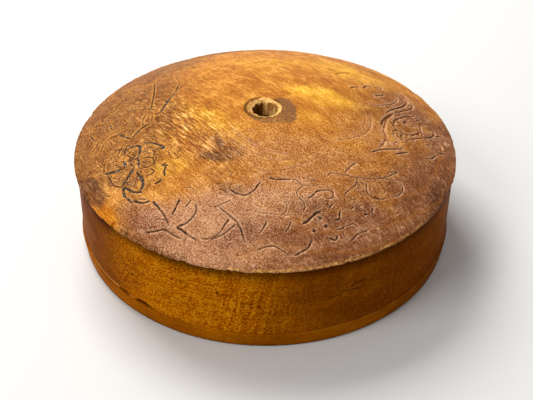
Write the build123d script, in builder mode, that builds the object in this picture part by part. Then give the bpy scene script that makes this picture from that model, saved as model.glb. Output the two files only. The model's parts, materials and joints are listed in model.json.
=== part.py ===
"""Round wooden box: a bent hoop wall on a rebated base, under a turned domed lid."""

import os
from math import atan2, degrees

from build123d import *

os.makedirs("parts", exist_ok=True)

# Driving dimensions in millimetres, angles in degrees
lid_radius = 90.0         # the lid's thin outer edge
lid_rise = 23.0           # from the plane that the lid rests on to its apex
lid_overhang = 1.1        # how far the lid's edge stands out past the hoop
lid_land = 1.2            # upright edge left between the dome and the lid's flat seat
dome_thickness = 9.0      # wood left at the middle of the dome
hollow_lift = 2.0         # how far above the seat the hollow's edge starts
hollow_bevel = 2.5        # eased inside corner between the hollow and the spigot
spigot_width = 6.0        # ring under the lid that drops inside the hoop
spigot_depth = 6.0
spigot_clearance = 0.5    # round the spigot, so that the lid lifts off by hand
spigot_bevel = 0.8        # lead-in at the spigot's lower outer edge

knob_hole_radius = 6.0    # hole through the apex, left by the lost knob's tenon
mouth_width = 1.75        # broken-out mouth round the hole's top
mouth_depth = 1.2

hoop_height = 35.8        # from the base's band up to the lid's seat
hoop_wall = 4.0           # thickness of the bent strip
hoop_lead_in = 0.6        # bevel inside the hoop's rim that guides the spigot in
seam_angle = -51.0        # where the strip's outer end stops, measured from +X
scarf_length = 31.0       # how far the strip's two tapered ends overlap
tip_land = 0.9            # blunt thickness that each tapered end keeps
tip_proud = 0.4           # the outer end stands out past the hoop by this
swell_length = 40.0       # over which the strip rises to that proud end
glue_line = 0.2           # between the two faces of the scarf
end_gap = 0.3             # beside each blunt end, where the joint has opened

base_band = 8.0           # part of the base that shows below the hoop
base_ledge = 0.3          # the band's top edge stands out past the hoop by this
base_taper = 0.8          # the band draws in by this down to the foot
foot_bevel = 1.0          # worn lower edge of the base
ledge_bevel = 0.25        # worn upper edge of the band
step_height = 3.5         # raised disc inside the hoop, which centres it
step_clearance = 0.15     # glue gap round the raised disc
step_bevel = 0.6          # bevel that leads the hoop over the raised disc

# Radii and heights that follow from them
hoop_outer = lid_radius - lid_overhang
hoop_inner = hoop_outer - hoop_wall
spigot_outer = hoop_inner - spigot_clearance
spigot_inner = spigot_outer - spigot_width
step_radius = hoop_inner - step_clearance
ledge_radius = hoop_outer + base_ledge
seat_z = base_band + hoop_height
apex_z = seat_z + lid_rise
floor_z = base_band + step_height

# Angles that the strip's two ends reach round the hoop
scarf_angle = degrees(scarf_length / hoop_outer)
inner_tip_angle = seam_angle - scarf_angle
swell_angle = degrees(swell_length / hoop_outer)
gap_angle = degrees(end_gap / hoop_outer)


def at(radius, angle):
    """A point in plan, at a radius from the box's axis and an angle from +X."""
    return Vector(radius, 0).rotate(Axis.Z, angle)


def scarf_face(offset, outer_angle, inner_angle):
    """One face of the scarf, an arc that crosses the strip's thickness from one tip to the other."""
    outer_end = hoop_outer - tip_land + offset
    inner_end = hoop_inner + tip_land + offset
    return ThreePointArc(
        at(outer_end, outer_angle),
        at((outer_end + inner_end) / 2, (outer_angle + inner_angle) / 2),
        at(inner_end, inner_angle),
    )


# Base: one disc, rebated so that the hoop stands on its band and round its raised middle
with BuildPart() as base_disc:
    with BuildSketch(Plane.XZ):
        with BuildLine():
            Polyline(
                (0, 0),
                (ledge_radius - base_taper, 0),
                (ledge_radius, base_band),
                (step_radius, base_band),
                (step_radius, floor_z),
                (0, floor_z),
                close=True,
            )
        make_face()
    revolve(axis=Axis.Z)
    rings = base_disc.edges().filter_by(GeomType.CIRCLE).group_by(Axis.Z)
    chamfer(rings[0], foot_bevel)
    chamfer(rings[1].sort_by(SortBy.RADIUS)[-1], ledge_bevel)
    chamfer(rings[-1], step_bevel)
base_disc.part.label = "base_disc"
export_step(base_disc.part, "parts/base_disc.step")

# Wall: one strip bent into a hoop, its tapered ends lapped in a scarf that has opened by a hair
with BuildPart() as wall_hoop:
    with BuildSketch(Plane.XY.offset(base_band)):
        Circle(hoop_outer)
        with BuildLine():
            swell_start = at(hoop_outer, seam_angle - swell_angle)
            swell = TangentArc(
                swell_start,
                at(hoop_outer + tip_proud, seam_angle),
                tangent=at(1, seam_angle - swell_angle + 90),
            )
            Polyline(swell @ 1, at(hoop_inner, seam_angle), at(hoop_inner, seam_angle - swell_angle), swell @ 0)
        make_face()
        Circle(hoop_inner, mode=Mode.SUBTRACT)
        with BuildLine():
            outer_side = scarf_face(glue_line, seam_angle, inner_tip_angle - gap_angle)
            inner_side = scarf_face(0, seam_angle + gap_angle, inner_tip_angle)
            Polyline(
                inner_side @ 0,
                at(hoop_outer + hoop_wall, seam_angle + gap_angle),
                at(hoop_outer + hoop_wall, seam_angle),
                outer_side @ 0,
            )
            Polyline(
                outer_side @ 1,
                at(hoop_inner - hoop_wall, inner_tip_angle - gap_angle),
                at(hoop_inner - hoop_wall, inner_tip_angle),
                inner_side @ 1,
            )
        make_face(mode=Mode.SUBTRACT)
    extrude(amount=hoop_height)
    with BuildSketch(Plane.XZ):
        with BuildLine():
            Polyline(
                (hoop_inner, seat_z - hoop_lead_in),
                (hoop_inner + hoop_lead_in, seat_z),
                (hoop_inner, seat_z + hoop_lead_in),
                (hoop_inner - hoop_lead_in, seat_z),
                close=True,
            )
        make_face()
    revolve(axis=Axis.Z, mode=Mode.SUBTRACT)
wall_hoop.part.label = "wall_hoop"
export_step(wall_hoop.part, "parts/wall_hoop.step")

# Lid: turned in one piece, domed above, hollowed below, with the spigot that centres it in the hoop
with BuildPart() as lid:
    with BuildSketch(Plane.XZ) as lid_section:
        with BuildLine():
            dome = TangentArc((0, apex_z), (lid_radius, seat_z + lid_land), tangent=(1, 0))
            hollow = TangentArc(
                (0, apex_z - dome_thickness), (spigot_inner, seat_z + hollow_lift), tangent=(1, 0)
            )
            Polyline(
                dome @ 1,
                (lid_radius, seat_z),
                (spigot_outer, seat_z),
                (spigot_outer, seat_z - spigot_depth + spigot_bevel),
                (spigot_outer - spigot_bevel, seat_z - spigot_depth),
                (spigot_inner, seat_z - spigot_depth),
                hollow @ 1,
            )
            Line(hollow @ 0, dome @ 0)
        make_face()
        chamfer(lid_section.vertices().sort_by_distance(hollow @ 1)[0], hollow_bevel)
    revolve(axis=Axis.Z)
    with Locations((0, 0, apex_z)):
        CounterSinkHole(
            knob_hole_radius,
            knob_hole_radius + mouth_width,
            counter_sink_angle=2 * degrees(atan2(mouth_width, mouth_depth)),
        )
lid.part.label = "lid"
export_step(lid.part, "parts/lid.step")
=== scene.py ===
"""Dresses a round wooden box: a worn domed lid with cut foliage, a bent and varnished hoop, and its base."""

import json
import random
from math import atan2, cos, pi, radians, sin, sqrt

import bmesh
import bpy
import numpy as np
from bpy.props import FloatProperty, FloatVectorProperty, IntProperty, PointerProperty
from mathutils import Euler, Matrix, Vector, noise
from mathutils.kdtree import KDTree


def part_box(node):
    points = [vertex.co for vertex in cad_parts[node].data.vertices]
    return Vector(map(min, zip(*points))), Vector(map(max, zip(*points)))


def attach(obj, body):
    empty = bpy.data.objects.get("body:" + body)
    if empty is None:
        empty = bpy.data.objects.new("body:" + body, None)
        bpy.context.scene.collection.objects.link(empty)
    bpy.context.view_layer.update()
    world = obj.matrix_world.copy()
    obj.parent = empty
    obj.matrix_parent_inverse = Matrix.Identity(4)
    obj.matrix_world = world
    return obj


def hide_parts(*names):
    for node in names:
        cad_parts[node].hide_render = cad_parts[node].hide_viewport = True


bl_info = {
    "name": "Round Wooden Box",
    "version": (1, 0, 0),
    "blender": (4, 5, 0),
    "location": "3D View > Sidebar > Round Box",
    "description": "Dresses a lidded round box in worn, carved and varnished wood",
    "category": "Object",
}

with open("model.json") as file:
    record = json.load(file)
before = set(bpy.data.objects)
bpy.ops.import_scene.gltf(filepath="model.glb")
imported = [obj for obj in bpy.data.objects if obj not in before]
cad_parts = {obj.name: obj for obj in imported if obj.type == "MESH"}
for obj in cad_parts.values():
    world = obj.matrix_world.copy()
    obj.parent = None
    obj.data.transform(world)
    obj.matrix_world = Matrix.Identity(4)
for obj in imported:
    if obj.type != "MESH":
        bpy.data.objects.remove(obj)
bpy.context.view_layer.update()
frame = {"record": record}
MM = 0.001

# Sizes that the frame gives
LID_LOW, LID_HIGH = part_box("lid")
WALL_LOW, WALL_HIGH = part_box("wall_hoop")
BASE_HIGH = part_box("base_disc")[1]
MOUNTS = {mount["name"]: mount for mount in frame["record"]["mounts"]}
LID_RADIUS = LID_HIGH.x
SEAT_Z = WALL_HIGH.z
HOOP_OUTER = WALL_HIGH.x
BAND_Z = WALL_LOW.z
LEDGE_RADIUS = BASE_HIGH.x
FLOOR_Z = BASE_HIGH.z
HOLE_RADIUS = MOUNTS["knob_hole"]["dims"]["r_mm"] * MM

# Sizes of the solids that the frame's boxes don't show
LID_RISE = 23.0 * MM
LID_LAND = 1.2 * MM
DOME_THICKNESS = 9.0 * MM
HOLLOW_LIFT = 2.0 * MM
HOLLOW_BEVEL = 2.5 * MM
SPIGOT_WIDTH = 6.0 * MM
SPIGOT_BEVEL = 0.8 * MM
SPIGOT_CLEARANCE = 0.5 * MM
HOOP_WALL = 4.0 * MM
SEAM_ANGLE = radians(-51.0)
SCARF_LENGTH = 31.0 * MM
TIP_LAND = 0.9 * MM
TIP_PROUD = 0.4 * MM
SWELL_LENGTH = 40.0 * MM
GLUE_LINE = 0.2 * MM
END_GAP = 0.3 * MM
BASE_TAPER = 0.8 * MM
FOOT_BEVEL = 1.0 * MM
STEP_CLEARANCE = 0.15 * MM
STEP_BEVEL = 0.6 * MM

# Sizes that follow from them, and those of the mouth, the knob's mark, the hoop's bevel and the turning marks
APEX_Z = SEAT_Z + LID_RISE
HOOP_INNER = HOOP_OUTER - HOOP_WALL
SPIGOT_OUTER = HOOP_INNER - SPIGOT_CLEARANCE
SPIGOT_INNER = SPIGOT_OUTER - SPIGOT_WIDTH
STEP_RADIUS = HOOP_INNER - STEP_CLEARANCE
SCARF_ANGLE = SCARF_LENGTH / HOOP_OUTER
GAP_ANGLE = END_GAP / HOOP_OUTER
MOUTH_RADIUS = HOLE_RADIUS + 5.0 * MM
PRINT_RADIUS = 19.0 * MM
MOUTH_SLOPE = 2.4 * MM
HOOP_ARRIS = 0.35 * MM
TURNING_PITCH = 1.1 * MM

# How finely the pieces are divided, and how near to the rim, to a cut and to a mark their faces are halved
HOLLOW_PITCH = 4.0 * MM
SPIGOT_PITCH = 2.0 * MM
DOME_PITCH = 2.7 * MM
PRINT_PITCH = 1.4 * MM
MOUTH_PITCH = 0.4 * MM
BORE_PITCH = 0.8 * MM
HOOP_CUTS_ALONG = 420
HOOP_CUTS_UP = 15
BASE_TURNS = 360
BASE_PITCH = 1.6 * MM
STROKE_PITCH = 0.14 * MM
RIM_REACHES = (3.2 * MM, 1.6 * MM)
CUT_REACHES = (2.2 * MM, 1.0 * MM, 0.6 * MM)
MARK_REACHES = (1.8 * MM, 1.0 * MM, 0.7 * MM)
CUT_WIDEST = 2.2 * MM
MARK_WIDEST = 1.5 * MM

# The floor's half size, and each lamp's setting, place and size, in metres
FLOOR_REACH = 6.0
LAMPS = (("key", (-0.35, 0.6, 0.85), 0.6), ("fill", (-0.7, -0.5, 0.85), 0.5))

# The photograph's frame and camera, in its pixels, metres and degrees
PHOTO_WIDTH = 533
PHOTO_HEIGHT = 400
PHOTO_FOCAL = 1100
CAMERA_DISTANCE = 0.550
CAMERA_ELEVATION = 38.95
CAMERA_TILT = 1.007
CAMERA_PAN = -0.09
CAMERA_ROLL = 0.46


def cap_ball(rim_radius, rise):
    """The radius of the ball that a dome of that rim radius and rise is cut from."""
    return (rim_radius**2 + rise**2) / (2 * rise)


DOME_BALL = cap_ball(LID_RADIUS, LID_RISE - LID_LAND)
HOLLOW_BALL = cap_ball(SPIGOT_INNER, LID_RISE - DOME_THICKNESS - HOLLOW_LIFT)


def dome_z(radius):
    """The height of the lid's outer dome over a radius in plan."""
    return APEX_Z - DOME_BALL + np.sqrt(DOME_BALL**2 - radius**2)


def hollow_z(radius):
    """The height of the hollow under the lid over a radius in plan."""
    return APEX_Z - DOME_THICKNESS - HOLLOW_BALL + np.sqrt(HOLLOW_BALL**2 - radius**2)


def camera_matrix():
    """Where the photograph's camera stands and how it is turned."""
    elevation = radians(CAMERA_ELEVATION)
    place = Vector((0, -cos(elevation), sin(elevation))) * CAMERA_DISTANCE
    turn = Euler((radians(90 - CAMERA_ELEVATION), 0, 0)).to_matrix()
    turn = turn @ Matrix.Rotation(radians(CAMERA_PAN), 3, "Y")
    turn = turn @ Matrix.Rotation(radians(CAMERA_TILT), 3, "X")
    turn = turn @ Matrix.Rotation(radians(CAMERA_ROLL), 3, "Z")
    return Matrix.Translation(place) @ turn.to_4x4()


CAMERA = camera_matrix()


def on_dome(pixel):
    """The point of the lid's dome that the photograph shows at a pixel."""
    aim = Vector((pixel[0] - PHOTO_WIDTH / 2, PHOTO_HEIGHT / 2 - pixel[1], -PHOTO_FOCAL))
    aim = (CAMERA.to_3x3() @ aim).normalized()
    start = CAMERA.translation - Vector((0, 0, APEX_Z - DOME_BALL))
    reach = -aim.dot(start) - sqrt(aim.dot(start) ** 2 - start.length_squared + DOME_BALL**2)
    return CAMERA.translation + aim * reach


def on_hoop(pixel):
    """The point of the bent strip, along it and up it in metres, that the photograph shows at a pixel."""
    aim = Vector((pixel[0] - PHOTO_WIDTH / 2, PHOTO_HEIGHT / 2 - pixel[1], -PHOTO_FOCAL))
    aim = CAMERA.to_3x3() @ aim
    start = CAMERA.translation
    size = aim.xy.length_squared
    middle = -start.xy.dot(aim.xy) / size
    reach = middle - sqrt(middle**2 - (start.xy.length_squared - HOOP_OUTER**2) / size)
    place = start + aim * reach
    angle = (atan2(place.y, place.x) - SEAM_ANGLE + SCARF_ANGLE) % (2 * pi)
    if angle < SCARF_ANGLE:
        angle += 2 * pi
    return Vector((angle * HOOP_OUTER, place.z - BAND_Z, 0))


# The cut foliage. Each stroke is a width and a depth in millimetres, the strength of the dark colour
# rubbed into it, and the pixels of the photograph that it runs through.
FLOWER = (
    (2.0, 0.7, 1.0, ((123, 161), (125, 165), (122, 169), (113, 172), (105, 174))),
    (0.9, 0.5, 0.6, ((104, 173), (104, 166), (107, 161), (112, 160))),
    (1.7, 0.7, 1.0, ((134, 167), (129, 175), (125, 181), (122, 186))),
    (0.9, 0.5, 0.7, ((112, 175), (110, 180), (115, 186), (123, 187))),
    (1.7, 0.6, 1.0, ((136, 172), (141, 178), (143, 184), (141, 189), (139, 191))),
    (1.4, 0.6, 1.0, ((143, 192), (134, 192), (129, 190), (124, 187))),
    (1.5, 0.6, 1.0, ((123, 188), (124, 195), (126, 198))),
    (1.5, 0.6, 0.9, ((124, 152), (132, 147), (139, 146), (140, 150), (138, 158), (139, 166))),
    (0.9, 0.5, 0.7, ((117, 156), (121, 149), (123, 146))),
    (0.9, 0.5, 0.7, ((123, 154), (127, 147))),
    (0.9, 0.4, 0.6, ((127, 155), (132, 158), (137, 154))),
    (0.9, 0.5, 0.7, ((142, 158), (148, 157), (153, 158), (154, 163), (150, 166), (143, 168))),
    (0.9, 0.5, 0.7, ((150, 168), (154, 171), (150, 175))),
    (0.9, 0.5, 0.7, ((143, 162), (147, 163))),
    (1.4, 0.5, 0.9, ((162, 165), (168, 165))),
    (1.4, 0.5, 0.9, ((166, 166), (164, 171), (165, 176))),
    (1.4, 0.6, 0.9, ((161, 180), (158, 182), (155, 184))),
    (0.9, 0.5, 0.7, ((146, 176), (152, 174))),
    (1.7, 0.6, 0.9, ((144, 143), (151, 143), (157, 144), (164, 147), (159, 149))),
    (1.4, 0.6, 1.0, ((127, 198), (132, 203))),
    (1.4, 0.5, 0.9, ((134, 201), (143, 203), (150, 201))),
    (0.9, 0.4, 0.7, ((138, 199), (146, 199))),
    (0.7, 0.4, 0.7, ((132, 162), (128, 166))),
    (0.7, 0.4, 0.7, ((117, 164), (112, 167))),
    (0.7, 0.4, 0.6, ((114, 178), (119, 180))),
    (0.7, 0.4, 0.6, ((128, 184), (133, 186))),
)
FAN = (
    (1.0, 0.5, 0.7, ((155, 83), (154, 94), (152, 104), (151, 110))),
    (0.9, 0.6, 0.9, ((180, 82), (175, 92), (170, 98))),
    (1.6, 0.7, 0.9, ((171, 97), (165, 105), (160, 112))),
    (0.8, 0.4, 0.4, ((155, 83), (159, 79), (167, 78), (175, 78), (180, 82))),
    (0.8, 0.4, 0.4, ((130, 88), (140, 86), (148, 85), (155, 84))),
    (1.0, 0.5, 0.9, ((130, 111), (137, 110), (148, 109), (157, 110))),
    (0.9, 0.5, 0.5, ((152, 111), (144, 117), (143, 124), (148, 125), (152, 119), (152, 113))),
    (1.4, 0.6, 0.9, ((148, 124), (141, 129), (135, 135), (132, 137))),
    (1.0, 0.5, 0.9, ((134, 120), (130, 123), (121, 126))),
    (0.9, 0.4, 0.7, ((134, 124), (127, 127), (122, 129))),
    (1.3, 0.6, 0.9, ((120, 135), (127, 138), (132, 139))),
    (0.8, 0.4, 0.5, ((123, 93), (127, 90), (136, 92))),
    (0.8, 0.4, 0.5, ((128, 94), (134, 91))),
    (1.0, 0.5, 0.3, ((92, 154), (95, 148), (98, 143), (101, 139), (106, 135), (115, 132), (125, 128))),
    (1.0, 0.5, 0.3, ((98, 157), (101, 151), (103, 146), (106, 141), (114, 136), (124, 137))),
    (0.8, 0.4, 0.4, ((90, 134), (91, 130), (94, 127), (98, 126))),
    (1.1, 0.5, 0.5, ((97, 129), (96, 126), (101, 122), (105, 117), (114, 111), (119, 104), (122, 99))),
    (0.8, 0.4, 0.4, ((106, 120), (109, 117), (114, 114), (121, 109), (125, 107))),
    (0.8, 0.4, 0.4, ((109, 103), (112, 97), (118, 91), (127, 88))),
    (1.0, 0.5, 0.9, ((101, 122), (106, 120))),
    (0.9, 0.5, 0.9, ((106, 129), (109, 132))),
    (0.9, 0.5, 0.9, ((110, 125), (112, 129))),
    (0.9, 0.5, 0.9, ((90, 136), (94, 140))),
    (0.8, 0.4, 0.5, ((111, 140), (117, 138))),
)
BLOSSOM = (
    (1.4, 0.7, 0.9, ((153, 201), (159, 208))),
    (1.0, 0.7, 0.6, ((158, 207), (164, 215), (168, 223), (169, 226))),
    (1.2, 0.7, 0.8, ((180, 199), (176, 206), (172, 215))),
    (0.8, 0.4, 0.7, ((191, 200), (188, 204), (185, 207))),
    (1.1, 0.7, 0.5, ((196, 203), (196, 211), (191, 219), (184, 224), (176, 227))),
    (1.4, 0.8, 0.7, ((176, 227), (182, 230), (188, 235))),
    (0.8, 0.7, 0.6, ((188, 235), (196, 240))),
    (1.0, 0.7, 0.5, ((141, 231), (151, 232), (160, 230), (166, 230), (172, 234), (182, 239))),
    (0.7, 0.4, 0.4, ((153, 221), (160, 219), (166, 221), (169, 225))),
    (0.7, 0.2, 0.3, ((160, 195), (171, 195), (182, 195))),
    (0.7, 0.3, 0.4, ((184, 188), (190, 187), (194, 190), (192, 194))),
)
FRONT_LEAF = (
    (0.8, 0.7, 0.4, ((201, 239), (211, 238), (219, 233), (225, 226))),
    (1.2, 0.7, 0.5, ((222, 230), (225, 225), (229, 219))),
    (0.8, 0.7, 0.4, ((210, 240), (220, 236), (229, 230), (236, 224))),
    (1.0, 0.8, 0.4, ((219, 207), (228, 214), (237, 222), (241, 231), (244, 239), (246, 243))),
    (1.0, 0.7, 0.6, ((237, 224), (241, 229), (243, 235))),
    (0.8, 0.4, 0.4, ((216, 207), (222, 204), (231, 200))),
    (0.9, 0.7, 0.7, ((215, 206), (216, 207))),
    (0.7, 0.3, 0.3, ((213, 194), (220, 194), (231, 195))),
    (1.0, 0.7, 0.5, ((229, 189), (237, 193), (244, 195), (252, 192), (257, 187), (261, 181))),
    (1.0, 0.8, 0.7, ((268, 178), (276, 179), (285, 179), (291, 179))),
    (0.8, 0.4, 0.4, ((291, 179), (296, 180), (301, 184), (305, 186))),
    (0.8, 0.7, 0.7, ((310, 181), (314, 180))),
    (0.7, 0.3, 0.4, ((241, 208), (246, 210), (253, 210))),
    (0.7, 0.3, 0.3, ((253, 211), (266, 213), (285, 215), (305, 215))),
    (1.2, 0.9, 0.7, ((303, 224), (307, 221), (312, 217), (316, 213), (321, 211))),
    (0.8, 0.7, 0.5, ((329, 208), (331, 206), (334, 203))),
    (0.8, 0.7, 0.4, ((267, 221), (264, 227), (259, 234))),
    (0.8, 0.7, 0.4, ((291, 221), (289, 227), (285, 233))),
    (0.7, 0.4, 0.4, ((283, 199), (287, 205), (286, 211), (282, 215))),
    (0.7, 0.3, 0.4, ((261, 199), (263, 205))),
    (0.8, 0.7, 0.4, ((257, 250), (266, 247), (273, 246), (281, 250), (289, 255))),
    (0.9, 0.8, 0.4, ((294, 256), (302, 252), (308, 248), (311, 243), (313, 239))),
)
SPRAYS = (
    (0.7, 0.6, 0.4, ((325, 178), (332, 173), (346, 175), (355, 177), (373, 179), (386, 177), (400, 172))),
    (0.7, 0.6, 0.6, ((389, 172), (399, 172))),
    (0.8, 0.7, 0.4, ((345, 173), (350, 167), (357, 162))),
    (0.7, 0.6, 0.4, ((358, 179), (355, 186), (349, 190), (344, 196))),
    (0.7, 0.6, 0.3, ((298, 197), (297, 192), (301, 187), (308, 185), (311, 187))),
    (0.8, 0.7, 0.4, ((298, 197), (303, 201), (305, 207), (303, 211))),
    (0.9, 0.7, 0.5, ((307, 199), (313, 195), (318, 191), (326, 190), (333, 192), (333, 197), (326, 199))),
    (0.9, 0.7, 0.3, ((367, 182), (367, 191), (372, 197), (380, 199), (388, 198))),
    (0.7, 0.6, 0.3, ((388, 198), (399, 195), (403, 188), (398, 182), (387, 179), (373, 179))),
    (0.9, 0.7, 0.6, ((374, 196), (379, 199))),
    (0.9, 0.8, 0.6, ((364, 215), (369, 214))),
    (0.9, 0.7, 0.5, ((372, 213), (373, 208))),
    (0.8, 0.7, 0.6, ((351, 209), (354, 206))),
    (1.1, 0.8, 0.6, ((335, 220), (340, 219))),
    (0.9, 0.8, 0.6, ((340, 219), (340, 213), (341, 210))),
    (0.9, 0.8, 0.6, ((327, 237), (330, 238), (335, 240), (337, 238), (337, 235))),
    (0.8, 0.7, 0.4, ((337, 230), (341, 229), (345, 227))),
    (0.7, 0.6, 0.3, ((345, 227), (349, 225), (354, 224), (359, 227))),
    (0.7, 0.6, 0.3, ((343, 232), (345, 236), (348, 240), (352, 242))),
    (0.8, 0.7, 0.4, ((351, 241), (355, 237), (358, 234), (363, 232), (369, 230))),
    (0.7, 0.4, 0.3, ((375, 228), (380, 225))),
)
SCROLL = (
    (1.2, 0.7, 0.2, ((396, 92), (402, 97), (406, 101), (406, 104), (402, 107), (394, 109), (385, 113))),
    (1.4, 0.8, 0.3, ((392, 114), (387, 117), (383, 121), (381, 126))),
    (1.1, 0.7, 0.2, ((398, 91), (404, 97), (409, 101), (412, 105), (411, 109), (403, 111), (394, 113))),
    (1.1, 0.7, 0.2, ((394, 113), (388, 118), (385, 123), (384, 131), (386, 137), (383, 144), (379, 148))),
    (0.9, 0.5, 0.2, ((366, 102), (374, 105), (385, 105), (392, 104), (396, 102), (397, 98), (394, 97))),
    (0.9, 0.3, 0.2, ((369, 93), (376, 98), (384, 101))),
    (1.2, 0.7, 0.2, ((415, 117), (407, 116), (401, 118), (395, 120), (394, 124), (395, 128), (400, 131))),
    (1.3, 0.8, 0.3, ((400, 131), (404, 134), (411, 135), (417, 134), (420, 132))),
    (0.9, 0.5, 0.3, ((410, 126), (415, 126), (418, 126))),
    (1.1, 0.7, 0.4, ((416, 121), (419, 120), (422, 121))),
    (0.9, 0.5, 0.2, ((422, 121), (427, 121), (431, 122))),
    (1.0, 0.7, 0.2, ((420, 122), (420, 127), (421, 132), (423, 137))),
    (1.0, 0.7, 0.3, ((426, 137), (431, 137), (434, 135), (433, 131))),
    (1.1, 0.7, 0.4, ((437, 137), (441, 136), (444, 138))),
    (0.9, 0.5, 0.2, ((402, 137), (405, 140), (413, 139), (422, 138), (431, 138), (439, 140), (447, 142))),
    (1.2, 0.7, 0.4, ((393, 131), (396, 130), (400, 132), (402, 134), (401, 138))),
    (0.9, 0.5, 0.2, ((394, 133), (394, 136), (397, 139), (400, 143))),
    (0.9, 0.5, 0.3, ((387, 140), (390, 144), (392, 147))),
    (0.9, 0.5, 0.2, ((394, 144), (397, 142), (400, 146))),
    (1.0, 0.7, 0.5, ((371, 152), (379, 150), (388, 149), (396, 149), (404, 148))),
    (1.1, 0.7, 0.5, ((395, 154), (402, 153), (409, 152))),
    (1.2, 0.7, 0.5, ((428, 144), (430, 147))),
    (0.9, 0.5, 0.2, ((437, 144), (440, 145), (441, 150))),
    (1.1, 0.7, 0.4, ((444, 145), (448, 144))),
    (1.3, 0.8, 0.5, ((438, 153), (442, 154), (447, 155))),
    (0.9, 0.5, 0.3, ((423, 157), (430, 159), (434, 157), (438, 155))),
)
DASHES = (
    (0.9, 0.3, 0.5, ((307, 69), (312, 70), (318, 72))),
    (1.2, 0.5, 0.5, ((335, 74), (340, 73), (350, 73))),
    (0.9, 0.4, 0.3, ((350, 79), (356, 80))),
    (1.5, 0.6, 0.5, ((350, 88), (354, 87), (359, 87))),
    (1.4, 0.6, 0.5, ((363, 88), (367, 86), (372, 87))),
    (1.1, 0.5, 0.5, ((374, 86), (380, 87), (381, 90))),
    (1.5, 0.6, 0.5, ((375, 96), (384, 95))),
)
RINGS = (
    (1.0, 0.3, 0.1, ((370, 113), (371, 124), (367, 132), (359, 136), (344, 139), (330, 139))),
    (0.9, 0.2, 0.2, ((364, 112), (365, 121), (362, 128), (354, 132), (342, 134), (330, 134))),
    (0.8, 0.25, 0.3, ((231, 132), (239, 136), (246, 141), (255, 146), (271, 151), (288, 154), (296, 152))),
    (0.8, 0.25, 0.3, ((226, 122), (235, 130), (244, 137), (254, 142), (264, 146))),
    (0.8, 0.25, 0.3, ((222, 130), (231, 138), (240, 145), (251, 151), (266, 157), (284, 160), (303, 158))),
    (0.8, 0.25, 0.3, ((252, 165), (266, 171), (287, 169), (306, 163), (322, 156))),
    (0.8, 0.2, 0.2, ((292, 83), (306, 86), (321, 91), (335, 99), (343, 108))),
    (0.8, 0.2, 0.2, ((298, 80), (315, 82), (334, 89), (349, 100))),
    (0.7, 0.2, 0.3, ((168, 103), (185, 97), (205, 95), (222, 97), (233, 101))),
    (0.7, 0.2, 0.3, ((172, 112), (188, 105), (206, 103), (221, 106), (230, 112))),
)
BERRIES = ((320.5, 218), (314.7, 231), (326, 226), (404.8, 122))
BERRY_PIXELS = 1.0

# Marks on the hoop, laid out in the same way, with a strength below 0 where the scratch is pale
HOOP_MARKS = (
    (1.2, 0.3, 1.1, ((216, 292), (217, 293), (218, 292.6))),
    (1.1, 0.2, 0.45, ((241, 304.5), (247, 304))),
    (0.9, 0.2, 0.35, ((248, 305), (252, 305))),
    (1.0, 0.2, 0.5, ((255, 306.6), (261, 307))),
    (0.8, 0.2, 0.3, ((241, 294), (246, 294))),
    (0.7, 0.2, 0.5, ((225, 308), (232, 309))),
    (0.6, 0.1, 0.5, ((283, 306), (289, 307))),
    (0.5, 0.1, 0.4, ((288, 298), (289, 294))),
    (1.3, 0.1, 0.5, ((350, 286), (358, 282), (366, 278))),
    (1.2, 0.1, 0.5, ((342, 291), (352, 289), (364, 286))),
    (1.2, 0.1, 0.4, ((328, 299), (335, 296), (342, 293))),
    (1.0, 0.1, 0.4, ((344, 285), (352, 281), (357, 280))),
    (0.7, 0.2, 0.8, ((116, 257), (119, 259.5))),
    (0.9, 0.2, 0.8, ((120, 257), (124, 261))),
    (0.8, 0.2, 0.8, ((123, 262.5), (127, 266))),
    (0.7, 0.2, 0.7, ((124.5, 269), (128, 271))),
    (0.7, 0.2, 0.7, ((128, 272), (132, 275))),
    (0.6, 0.2, 0.6, ((107, 258), (110, 263))),
    (0.6, 0.2, 0.6, ((142, 271), (145, 275))),
    (0.6, 0.2, 0.6, ((141, 282), (146, 286))),
    (0.6, 0.2, 0.6, ((170, 277), (173, 280))),
    (0.6, 0.2, 0.6, ((176, 278), (181, 282))),
    (0.6, 0.1, 0.5, ((183, 286), (190, 288))),
    (0.6, 0.1, 0.6, ((190, 304), (196, 306), (199, 306))),
    (0.6, 0.1, 0.5, ((200, 283), (206, 285), (211, 285))),
    (2.2, 0.1, 0.3, ((108, 266), (112, 273), (119, 281), (129, 289))),
    (0.4, 0.1, -0.5, ((90.5, 231), (93, 237), (97, 240))),
    (0.4, 0.1, -0.4, ((94, 229), (97, 235), (99, 238))),
    (0.4, 0.1, -0.6, ((97, 241), (100, 243))),
    (0.9, 0.1, -1.0, ((168.6, 283), (169.4, 283))),
)

# Small nicks between the cuts: the middle and half sizes of their patch in plan millimetres, how many there
# are, their depth in millimetres and the strength of the dark colour in them
NICKS = (
    (-60, -26, 17, 15, 64, 0.4, 0.65), (-72, 12, 12, 26, 40, 0.3, 0.25),
    (44, -52, 16, 13, 34, 0.3, 0.25), (70, 6, 14, 16, 36, 0.35, 0.2), (0, -52, 24, 12, 20, 0.25, 0.2),
    (-40, -62, 18, 8, 10, 0.25, 0.2),
)
NICK_HALF_WIDTH = 0.46

# Tears along the grain, left of the hole, in plan millimetres and degrees
GRAIN_TURN = -52.0
TORN_MIDDLE = (-34.0, -13.0)
TORN_LENGTH = 24.0
TORN_WIDTH = 10.0
TEARS = 22
TEAR_SIZE = 0.3

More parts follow.
